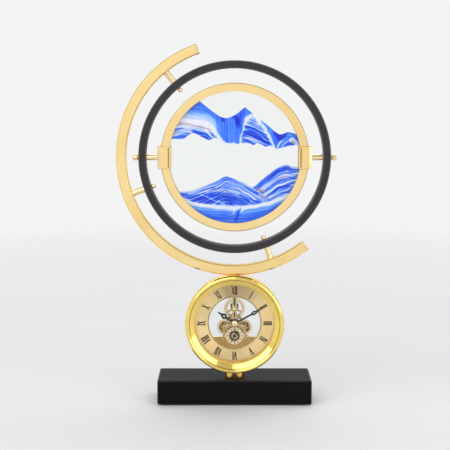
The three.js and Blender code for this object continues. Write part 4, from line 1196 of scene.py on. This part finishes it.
CAP_DEGREES = math.degrees(ARC["cap"] / ((ARC["outer"] + ARC["inner"]) / 2))
CAP_PROUD = 0.25
ARC_SECTION = chamfered(ARC["inner"], ARC["outer"], ARC["half"], ARC["edge"])
CAP_SECTION = chamfered(ARC["inner"] - CAP_PROUD, ARC["outer"] + CAP_PROUD, ARC["half"] + CAP_PROUD,
                        ARC["edge"])
RING_SECTION = chamfered(RING["inner"], RING["outer"], RING["half"], RING["edge"])
PIVOT_BORE = oblong(0, 3.6, 88, 105)
STANDOFF_OUTLINE = [(0, RING["outer"] - 0.3), (3.5, RING["outer"] - 0.3), (3.5, 102.6), (3.2, 103),
                    (3.2, 111.2), (3.5, 111.6), (3.5, ARC["inner"] + 0.2), (0, ARC["inner"] + 0.2)]
SCREW_CAP_OUTLINE = [(0, 87.8), (1.7, 87.8, 0.5), (2.4, 88.5, 0.4), (2.4, 91.3), (1.9, 91.6), (1.9, 92.6),
                     (0, 92.6)]


def arc_body():
    start = ARC["start"] + CAP_DEGREES
    span = ARC["end"] - ARC["start"] - 2 * CAP_DEGREES
    return turned(eased(ARC_SECTION, 0.35, 3), PICTURE, CLOCK_AXES, 120, start, span)


def arc_cap(start):
    mesh = turned(eased(CAP_SECTION, 0.3, 3), PICTURE, CLOCK_AXES, 2, start, CAP_DEGREES)
    return bevelled(mesh, end_edges(mesh), 0.4, 2)


def outer_ring():
    body = turned(eased(RING_SECTION, 0.25, 3), PICTURE, CLOCK_AXES)
    bores = [turned(PIVOT_BORE, PICTURE, pivot_axes(side), STUD_STEPS) for side in SIDES.values()]
    return drilled(body, *bores)


def stud_piece(name, outline, ease, axes, body, node):
    """A small gold piece turned about a line through the picture's centre."""
    mesh = lathe(outline, ease, PICTURE, STUD_STEPS, axes)
    return piece(name, mesh, "polished_gold", body, node, finish="stud_gold")


arc = piece("arc_tube", arc_body(), "satin_gold", "stand", "c_arc")
repaint(arc, "polished_gold", is_chamfer)
# The end caps are glossier and paler than the arc: partly their polish, partly a painted highlight.
for name, start in {"upper": ARC["start"], "lower": ARC["end"] - CAP_DEGREES}.items():
    piece("arc_end_" + name, arc_cap(start), "satin_gold", "stand", "arc_cap_" + name, finish="stud_gold")
ring = piece("black_ring", outer_ring(), "black_anodised", "stand", "outer_ring")
# The ring's chamfers are glossier and painted lighter: a painted highlight along its edges.
repaint(ring, "black_edge", is_chamfer)
for name, angle in STANDOFFS.items():
    axes = spoke_axes(angle)
    stud_piece("post_" + name, STANDOFF_OUTLINE, 0.25, axes, "stand", "standoff_" + name)
    stud_piece("screw_cap_" + name, SCREW_CAP_OUTLINE, 0.2, axes, "stand", "standoff_screw_" + name)

# Sand picture: frame, panes, seal, pivots

PANE = {"radius": 73.2, "near": 2.1, "far": 4.3}
PIN_OUTLINE = [(0, 78.1), (1.7, 78.1), (1.7, 80.8), (3.2, 80.8), (3.2, 91.6), (2.5, 91.8), (2.5, 101.2),
               (1.6, 101.4), (1.6, 104.4), (0, 104.4)]
KNOB_OUTLINE = [(0, 106.7), (2.2, 106.7, 0.8), (3.2, 105.9, 0.6), (3.2, 102.1), (2.8, 101.5), (1.8, 101.5),
                (1.8, 104.9), (0, 104.9)]
BUSH_OUTLINE = oblong(2.75, 3.4, 92.2, 100.8)
SEAL_OUTLINE = oblong(70.2, PANE["radius"], -1.9, 1.9)


def frame_half(sign):
    face = sign * FRAME["half"]
    meet = sign * FRAME["meet"]
    lip = face - sign * FRAME["lip"]
    outline = [(FRAME["inner"], face, 0.35), (FRAME["outer"] - FRAME["edge"], face, 0.4),
               (FRAME["outer"], face - sign * FRAME["edge"], 0.4), (FRAME["outer"], meet),
               (FRAME["seat"], meet), (FRAME["seat"], lip), (FRAME["inner"], lip, 0.1)]
    return lathe(outline, 0.1, PICTURE)


def pane(sign):
    return lathe(oblong(0, PANE["radius"], sign * PANE["near"], sign * PANE["far"]), 0.2, PICTURE)


for name, sign in {"front": -1, "rear": 1}.items():
    piece("rim_" + name, frame_half(sign), "satin_gold", "sand_picture", "frame_" + name)
    piece("glass_" + name, pane(sign), "clear_glass", "sand_picture", name + "_pane")
piece("glass_seal", lathe(SEAL_OUTLINE, 0.2, PICTURE), "rubber_pad", "sand_picture", "pane_seal")
for name, side in SIDES.items():
    axes = pivot_axes(side)
    stud_piece("pin_" + name, PIN_OUTLINE, 0.2, axes, "sand_picture", "pivot_pin_" + name)
    stud_piece("knob_" + name, KNOB_OUTLINE, 0.25, axes, "sand_picture", "pivot_knob_" + name)
    bush = lathe(BUSH_OUTLINE, 0.15, PICTURE, STUD_STEPS, axes)
    piece("bush_" + name, bush, "movement_brass", "stand", "pivot_bush_" + name)

# Clips that clamp the frame. A groove sets off the lip over the glass.

CLIP = {"inner": 66.6, "outer": 80.6, "half": 7, "rise": 11.8, "bevel": 2.6, "drop": 0.9, "gap": 0.3}
CLIP_MOUTH = (58, 68.9)
CLIP_GROOVE = {"from": 68.3, "to": 69.8, "floor": 6.0, "end": 1.2}


def clip_cutters():
    """The channel for the frame, the mouth over the glass, and a groove in the front and in the back."""
    gap = CLIP["gap"]
    deep = FRAME["half"] + gap
    mouth = deep - FRAME["lip"]
    reach = CLIP["rise"] + 1
    length = CLIP["rise"] - CLIP_GROOVE["end"]
    cutters = [turned(oblong(FRAME["inner"] - gap, FRAME["outer"] + gap, -deep, deep), PICTURE, CLOCK_AXES),
               prism(oblong(*CLIP_MOUTH, -mouth, mouth), -reach, reach, PICTURE, UPRIGHT_AXES)]
    for sign in SIDES.values():
        groove = oblong(CLIP_GROOVE["from"], CLIP_GROOVE["to"], sign * CLIP_GROOVE["floor"],
                        sign * (CLIP["half"] + 1))
        cutters.append(prism(groove, -length, length, PICTURE, UPRIGHT_AXES))
    return cutters


def clip(side):
    """A clip, cut as the right one and mirrored for the left."""
    inner, outer, half, bevel, drop = (CLIP[key] for key in ("inner", "outer", "half", "bevel", "drop"))
    section = [(inner, -half, 0.6), (outer - bevel, -half), (outer, -half + drop), (outer, half - drop),
               (outer - bevel, half), (inner, half, 0.6)]
    body = prism(eased(section, 0.3, 3), -CLIP["rise"], CLIP["rise"], PICTURE, UPRIGHT_AXES)
    mesh = drilled(bevelled(body, end_edges(body), 0.35, 2), *clip_cutters())
    if side < 0:
        bmesh.ops.scale(mesh, vec=(-1, 1, 1), verts=mesh.verts)
        bmesh.ops.reverse_faces(mesh, faces=mesh.faces)
    return mesh


# The clips' outer bevels are painted pale gold: a painted highlight along their outer edges.
def is_clip_painted_highlight(point, normal):
    return 0.1 < abs(normal.x) < 0.9 and abs(point.x) > CLIP["outer"] - CLIP["bevel"]


def is_clip_shade(point, normal):
    """True on the floors of the grooves and on the eased edges of the ends, which are painted dark as shade.
    """
    in_groove = CLIP_GROOVE["from"] < abs(point.x) < CLIP_GROOVE["to"] and abs(normal.y) > 0.9
    at_floor = abs(point.y - PICTURE.y) < CLIP_GROOVE["floor"] + 0.1
    at_end = abs(point.z - PICTURE.z) > CLIP["rise"] - 0.4
    return (in_groove and at_floor) or (at_end and 0.3 < abs(normal.z) < 0.95)


for name, side in SIDES.items():
    made = piece("clip_" + name, clip(side), "satin_gold", "sand_picture", "frame_clip_" + name)
    repaint(made, "stud_gold", is_clip_painted_highlight)
    # The grooves' floors and the ends' eased edges are painted dark: painted shade.
    repaint(made, "plate_brass", is_clip_shade)

# Sand. Places here are measured from the picture's centre, across and up.

SAND_RADIUS = 69.7
COLUMN = 0.6
ROWS = 64
LEAST_HEIGHT = 0.1
# How far the beds waver across and up, and how finely
WAVER = {"across": 1.1, "up": 0.9, "fine": 0.12}
UPPER_ENDS = (164, 11)
LOWER_ENDS = (211, 351)
UPPER_CREST_START = 122


class Line:
    """A smooth line across the picture that gives its height at any place across."""

    def __init__(self, *points):
        curve = smooth(points, 12)
        self.across = [point.x for point in curve]
        self.heights = [point.y for point in curve]

    def __call__(self, x):
        return np.interp(x, self.across, self.heights)


def on_edge(degrees):
    return polar(SAND_RADIUS, degrees)


def rim_height(x):
    return np.sqrt(np.maximum(SAND_RADIUS ** 2 - x ** 2, 0))


@np.vectorize
def waver(x, z, seed):
    return noise.noise(Vector((x, z, seed)))


def ragged(x, seed, size):
    """Small unevenness of a loose edge."""
    return size * (waver(x * 0.33, 0, seed) + 0.5 * waver(x * 0.9, 5, seed))


def rise(value, low, high):
    """A smooth step from nothing at the low end to one at the high end."""
    share = np.clip((value - low) / (high - low), 0, 1)
    return share * share * (3 - 2 * share)


def near(points, width, x, z):
    """One on a smooth line through the points, and nothing further off than its width."""
    curve = smooth(points, 6)
    closest = np.full(x.shape, np.inf)
    for start, end in zip(curve, curve[1:]):
        run = end - start
        share = ((x - start.x) * run.x + (z - start.y) * run.y) / run.length_squared
        share = np.clip(share, 0, 1)
        closest = np.minimum(closest, np.hypot(x - start.x - share * run.x, z - start.y - share * run.y))
    return 1 - rise(closest, 0.3 * width, width)


UPPER_CREST = Line(on_edge(UPPER_CREST_START), (-25, 49.3), (-11.7, 41.2), (0, 44), (9.5, 51.3), (12.5, 51),
                   (21, 43.6), (33, 34.7), (43.6, 25.8), (49, 24), (56, 26.3), on_edge(20))
UPPER_FOOT = Line(on_edge(UPPER_ENDS[0]), (-53.5, 19.4), (-50, 22.1), (-43, 25.4), (-35.5, 22), (-27.5, 18.2),
                  (-21, 20.2), (-16, 18.8), (-9.6, 12.8), (0, 13.8), (12.5, 15.3), (19.6, 12.9), (24, 14.8),
                  (32, 11.3), (36.3, 12.2), (44.7, 9.3), (55, 11.7), on_edge(UPPER_ENDS[1]))
LOWER_CREST = Line(on_edge(LOWER_ENDS[0]), (-45, -35), (-20, -25.5), (-8, -20), (8, -26.4), (17, -31),
                   (19.5, -31.4), (30, -22.5), (43, -12.5), (53, -7.6), (60, -9.6), on_edge(LOWER_ENDS[1]))
BROWN_LINE = Line((-68, 34), (-57, 35.5), (-50, 35), (-44, 33.4), (-38, 31.8), (-30.5, 30.8), (-22, 24),
                  (-13, 11))
TENT_LEFT = 5
TENT_RIGHT = 42
TENT = Line((TENT_LEFT, 8), (7, 22), (9.5, 33), (12.5, 40), (17, 43.5), (24, 39.5), (29, 34), (33.4, 25.5),
            (37, 18.5), (TENT_RIGHT, 8))
BOWL = Line((-70, -34), (-53, -42.6), (-36, -48.2), (0, -51.4), (25, -49), (41, -44.6), (56, -38), (70, -30))
HILL_TOP = -8
HILL_RIGHT = Line((HILL_TOP, -20), (8, -26.4), (20, -33), (31, -40), (44, -46))
HILL_FOOT = 12
# Ends of the left beds, of the cap over them and of the funnel beside them, and the middle of the round beds
LEFT_END = -8
CAP_END = -20
FUNNEL = (-26, -12)
ROUND_BEDS = (57, 8)

# Streaks in the sand: the line each follows, its width, how much paler it is, and its rust

UPPER_STREAKS = [
    ([(-62, 39.4), (-50, 39.6), (-40, 38.8), (-31, 37), (-25, 32)], 11, 0.36, 0),
    ([(-62, 37.6), (-50, 37.8), (-40, 36.4), (-31, 35), (-25, 30)], 4.6, 0.34, 0),
    ([(-28, 35), (-22, 28), (-17, 21), (-11, 14.5), (-8, 12.5)], 3.6, 0.5, 0),
    ([(-60, 35.4), (-50, 35), (-44, 33.4), (-38, 31.8), (-30.5, 30.8), (-26, 28)], 1.1, 0.1, 0.85),
    ([(-62, 31), (-55, 32.5), (-47, 31.5), (-38, 29), (-30, 28)], 2.6, 0.45, 0),
    ([(-66, 24), (-58, 26.5), (-52, 28), (-46, 27.4)], 3.6, 0.5, 0.06),
    ([(-45, 29.6), (-37, 26), (-30, 21)], 2.4, -0.16, 0),
    ([(-30, 28), (-25, 23), (-21, 20)], 1.7, 0.45, 0),
    ([(-24, 26.5), (-19, 20)], 1.3, -0.2, 0.25),
    ([(-12.5, 41.5), (-11.6, 38.5)], 2.6, -0.5, 0),
    ([(-1, 44.5), (2, 40), (3, 35)], 3.4, -0.42, 0),
    ([(9, 50), (6.5, 42), (4.5, 32)], 3.4, -0.16, 0),
    ([(-12, 14), (-6, 13.6), (0, 14.4)], 1.8, 0.5, 0),
    ([(6, 15), (7.5, 24), (9.5, 32), (12.5, 39), (16.5, 42.6)], 1.7, 0.5, 0),
    ([(13.5, 40), (17, 41.6), (21, 40.6), (25, 37)], 5, 0.6, 0),
    ([(14.5, 39), (17, 40.2)], 1.1, 0, 0.5),
    ([(20, 36.6), (24, 34.6)], 1.1, 0, 0.4),
    ([(24, 39), (29, 33.8), (33.4, 25.5), (37, 18.5), (41, 10.5)], 2.5, 0.55, 0),
    ([(12, 35), (19, 34), (26, 31), (31, 26)], 3.2, 0.34, 0),
    ([(10.5, 29.5), (18, 29), (26, 24), (33, 17)], 1.4, 0.3, 0),
    ([(8, 20), (16, 19.5), (25, 16.5), (33, 12.5)], 1.7, 0.34, 0),
    ([(9.5, 26), (17, 24.6), (26, 19.5), (34, 12.5)], 3.4, -0.26, 0),
    ([(44, 25), (48, 20.5), (51, 23.5)], 4.8, -0.45, 0),
    ([(45.5, 11), (48.5, 16), (52, 20.5), (57, 22.5), (62, 20.5)], 1.8, 0.34, 0),
    ([(50, 11.5), (52.5, 15.5), (57, 18)], 1.4, 0.3, 0),
    ([(59, 18), (62, 17), (64.5, 14.5)], 2.8, 0.55, 0),
    ([(61, 16.2), (62.5, 15.2)], 2.2, 0, 0.9),
]
LOWER_STREAKS = [
    ([(-59, -35.8), (-45, -35.2), (-20, -25.8), (-8, -20.4), (8, -26.8), (20, -33.2), (30, -39.6)],
     1.1, 0.34, 0.06),
    ([(-48, -37.5), (-22, -29.5), (-9, -24.5), (4, -29), (16, -35.5), (27, -42)], 1.0, 0.36, 0),
    ([(-20, -31), (-11, -28), (-3, -29.5), (8, -35), (22, -43.5)], 1.2, 0.42, 0),
    ([(-14, -32.5), (-8, -31), (2, -35), (15, -42.5)], 1.0, 0.36, 0),
    ([(-30, -35.5), (-20, -34.5), (-12, -35), (-4, -35.2), (4, -38)], 2.3, 0.45, 0.2),
    ([(-48, -38.6), (-36, -36.5), (-28, -36.5)], 1.5, 0.34, 0),
    ([(-35, -39), (-27, -42.5), (-21, -45.5), (-13, -47.5)], 1.2, 0.45, 0),
    ([(-5, -38.5), (8, -42), (19, -46)], 1.0, 0.34, 0),
    ([(-48, -42), (-38, -42.5), (-28, -45)], 4.4, -0.16, 0),
    ([(-25, -39.5), (-12, -40.5), (0, -42)], 1.8, -0.16, 0),
    ([(-8, -44.5), (4, -43), (14, -45.5)], 3.6, -0.2, 0),
    ([(-9, -48.6), (-3, -48.8)], 1.4, -0.5, 0),
    ([(27, -40), (31, -41.5), (30, -43.5)], 2.8, 0.3, 0.5),
    ([(23.5, -34), (28, -34.3), (31, -35.5)], 2.2, 0.2, 0.8),
    ([(19.5, -31.6), (30, -22.8), (43, -12.9), (53, -8), (60, -10), (67, -11.4)], 1.1, 0.34, 0.06),
    ([(27, -33), (38, -24.5), (47, -17.5), (56, -14.5)], 1.1, 0.36, 0),
    ([(30, -34), (42, -25), (50, -19.5), (58, -18.5), (67, -16.5)], 2.2, 0.5, 0.1),
    ([(47, -22.5), (54, -20.5)], 1.7, 0.1, 0.4),
    ([(31, -39), (42, -32), (52, -27), (66, -23)], 1.4, 0.42, 0),
    ([(33, -44), (45, -39), (56, -33), (64, -27)], 1.3, 0.4, 0),
    ([(34, -21), (46, -12.8), (56, -11.6)], 3.4, -0.1, 0),
    ([(40, -29), (50, -24.5), (62, -21)], 2.6, -0.2, 0),
    ([(38, -37), (50, -31), (62, -26)], 2.4, -0.16, 0),
    ([(-50, -45.4), (-36, -49.4), (0, -52.4), (25, -50.2), (41, -46), (56, -39.5)], 3.4, 0.3, 0.05),
    ([(6.5, -53.5), (3.5, -57), (2.5, -62), (1, -66)], 2.0, -0.32, 0),
    ([(0, -54), (-1, -59)], 1.2, 0.24, 0),
    ([(9.5, -53), (7, -58)], 1.2, 0.24, 0),
]


def upper_beds(x, z):
    """Place along and across the bed, paleness and streakiness over the upper sand."""
    under_brown = BROWN_LINE(x) - z
    left = (x < LEFT_END) & (under_brown > 0)
    in_tent = (z < TENT(x)) & (x > TENT_LEFT) & (x < TENT_RIGHT)
    right = x > TENT_RIGHT
    cap = (under_brown <= 0) & (x < CAP_END)
    places = [left, in_tent, right, cap]
    funnel = rise(x, *FUNNEL)
    round_beds = np.hypot(x - ROUND_BEDS[0], z - ROUND_BEDS[1])
    along = np.select(places, [x, x, z, x], z * funnel + x * (1 - funnel))
    across = np.select(places, [under_brown, z + 0.48 * x, round_beds, under_brown * 0.5], x * 0.8)
    pale = np.select(places, [0.34, 0.30, 0.32, 0.46], 0.46)
    streak = np.select(places, [0.8, 0.9, 0.6, 0.2], 0.26)
    return along, across, pale, streak


def lower_beds(x, z):
    """Place along and across the bed, paleness and streakiness over the lower sand."""
    under_bowl = BOWL(x) - z
    bowl = under_bowl > 0
    hill = (x < HILL_FOOT) | (z < HILL_RIGHT(x))
    slope = np.where(x < HILL_TOP, LOWER_CREST(x), HILL_RIGHT(x)) - z
    places = [bowl, hill]
    across = np.select(places, [under_bowl * 0.5, slope + 2.6], LOWER_CREST(x) - z)
    pale = np.select(places, [0.84 - 0.44 * rise(under_bowl, 0, 11), 0.40 - 0.1 * rise(slope, 9, 14)], 0.38)
    streak = np.where(bowl, 0.3, 1.0)
    return x, across, pale, streak


def upper_foot(x):
    return UPPER_FOOT(x) + ragged(x, 11, 0.6)


def upper_top(x):
    loose = np.minimum(UPPER_CREST(x) + ragged(x, 3, 0.25), rim_height(x))
    return np.where(x > on_edge(UPPER_CREST_START)[0], loose, rim_height(x))


def lower_foot(x):
    return -rim_height(x)


def lower_top(x):
    return np.maximum(LOWER_CREST(x) + ragged(x, 23, 0.25), lower_foot(x))


def slab(x, z, depths):
    """Points and faces of a closed slab: one grid of places at two depths, with walls round its border."""
    layers = [np.stack([x, np.full(x.shape, depth), z], axis=-1).reshape(-1, 3) for depth in depths]
    index = np.arange(x.size).reshape(x.shape)
    corners = [index[:-1, :-1], index[1:, :-1], index[1:, 1:], index[:-1, 1:]]
    front = np.stack(corners, axis=-1).reshape(-1, 4)
    border = np.concatenate([index[:-1, 0], index[-1, :-1], index[:0:-1, -1], index[0, :0:-1]])
    after = np.roll(border, -1)
    walls = np.stack([border, after, after + x.size, border + x.size], axis=-1)
    return np.concatenate(layers), np.concatenate([front, front + x.size, walls])


def sand(name, node, ends, foot, crest, beds, streaks):
    """A body of sand between its foot and its crest, filling the space between the panes."""
    left, right = (on_edge(degrees)[0] for degrees in ends)
    line = np.linspace(left, right, math.ceil((right - left) / COLUMN) + 1)
    low = foot(line)
    high = np.maximum(crest(line), low + LEAST_HEIGHT)
    x = np.repeat(line[:, None], ROWS + 1, axis=1)
    z = low[:, None] + (high - low)[:, None] * np.linspace(0, 1, ROWS + 1)
    bent_x = x + WAVER["across"] * waver(x * WAVER["fine"], z * WAVER["fine"], 7)
    bent_z = z + WAVER["up"] * waver(x * WAVER["fine"], z * WAVER["fine"], 31)
    along, across, pale, streak = beds(bent_x, bent_z)
    rust = np.zeros(x.shape)
    for points, width, paler, rusty in streaks:
        share = near(points, width, bent_x, bent_z)
        pale = pale + share * paler
        rust = rust + share * rusty
    points, faces = slab(x * MM, (PICTURE.z + z) * MM, [corner.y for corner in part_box(node)])
    data = bpy.data.meshes.new("carrier")
    data.from_pydata(points.tolist(), [], faces.tolist())
    for field, values in zip(SAND_FIELDS, (along, across, pale, np.minimum(rust, 1), streak)):
        data.attributes.new(field, "FLOAT", "POINT").data.foreach_set("value", np.tile(values.ravel(), 2))
    mesh = bmesh.new()
    mesh.from_mesh(data)
    bpy.data.meshes.remove(data)
    bmesh.ops.recalc_face_normals(mesh, faces=mesh.faces)
    return piece(name, mesh, "blue_sand", "sand_picture", node)


sand("sand_hanging", "sand_upper", UPPER_ENDS, upper_foot, upper_top, upper_beds, UPPER_STREAKS)
sand("sand_settled", "sand_lower", LOWER_ENDS, lower_foot, lower_top, lower_beds, LOWER_STREAKS)

# CAD nodes that still show keep their shape and get the record's finish; a few get eased edges

SOFTENED = {"drive_pinion": 0.05, "centre_arbor": 0.05, "base_pad": 0.3}

for subpart in frame["record"]["subparts"]:
    node = frame["nodes"][subpart["node"]]
    for slot in node.material_slots:
        slot.link = "OBJECT"
        slot.material = FINISHES[subpart["material_slot"]]
for name, width in SOFTENED.items():
    soften(frame["nodes"][name], width)

# Studio, in metres: a pale floor, a pale surround that darkens overhead, and three soft lamps

FLOOR_RADIUS = 2.4
FLOOR_FADE = (0.35, 1.6)
SURROUND = [(0.10, (0.90, 0.90, 0.905)), (0.60, (0.56, 0.56, 0.58))]
LAMP_AIM = Vector((0, 0, 0.2))
# Place, width, height and watts
LAMPS = {
    "key": ((-1.1, -1.5, 1.5), 2.4, 1.6, 22),
    "fill": ((1.4, -1.2, 0.9), 1.0, 1.6, 8),
    "top": ((0.2, 0.7, 1.8), 2.0, 1.2, 14),
}


def floor_paint(name):
    """Pale paint that fades into the surround."""
    made = Finish(name, Specular_IOR_Level=0.2)
    cloudy = made.noise(made.place(), 3.0, 3.0)
    made.shade(cloudy, (0.72, 0.72, 0.725), (0.74, 0.74, 0.745))
    made.set("Roughness", made.spread(cloudy, 0.6, 0.7))
    faded = made.spread(made.length(made.place()), 0.0, 1.0, *FLOOR_FADE)
    return made.mixed(faded, made.shader.outputs[0], made.node("BsdfTransparent", {}).outputs[0])


def floor():
    mesh = bmesh.new()
    bmesh.ops.create_circle(mesh, cap_ends=True, segments=96, radius=FLOOR_RADIUS)
    ground = object_from(mesh, "floor")
    ground.data.materials.append(floor_paint("floor_paint"))


def surround():
    world = bpy.data.worlds.new("surround")
    world.use_nodes = True
    bpy.context.scene.world = world
    sky = Nodes(world.node_tree)
    direction = sky.node("TexCoord", {}).outputs["Generated"]
    height = sky.node("SeparateXYZ", {0: direction}).outputs["Z"]
    sky.feed(sky.tree.nodes["Background"].inputs["Color"], sky.ramp(height, *SURROUND))


def lamp(name, place, width, height, watts):
    light = bpy.data.lights.new(name, "AREA")
    light.shape = "RECTANGLE"
    light.size = width
    light.size_y = height
    light.energy = watts
    made = bpy.data.objects.new(name, light)
    made.location = place
    made.rotation_euler = (LAMP_AIM - Vector(place)).to_track_quat("-Z", "Y").to_euler()
    bpy.context.scene.collection.objects.link(made)


floor()
surround()
for name, row in LAMPS.items():
    lamp(name, *row)
bpy.context.scene.view_settings.view_transform = "Standard"
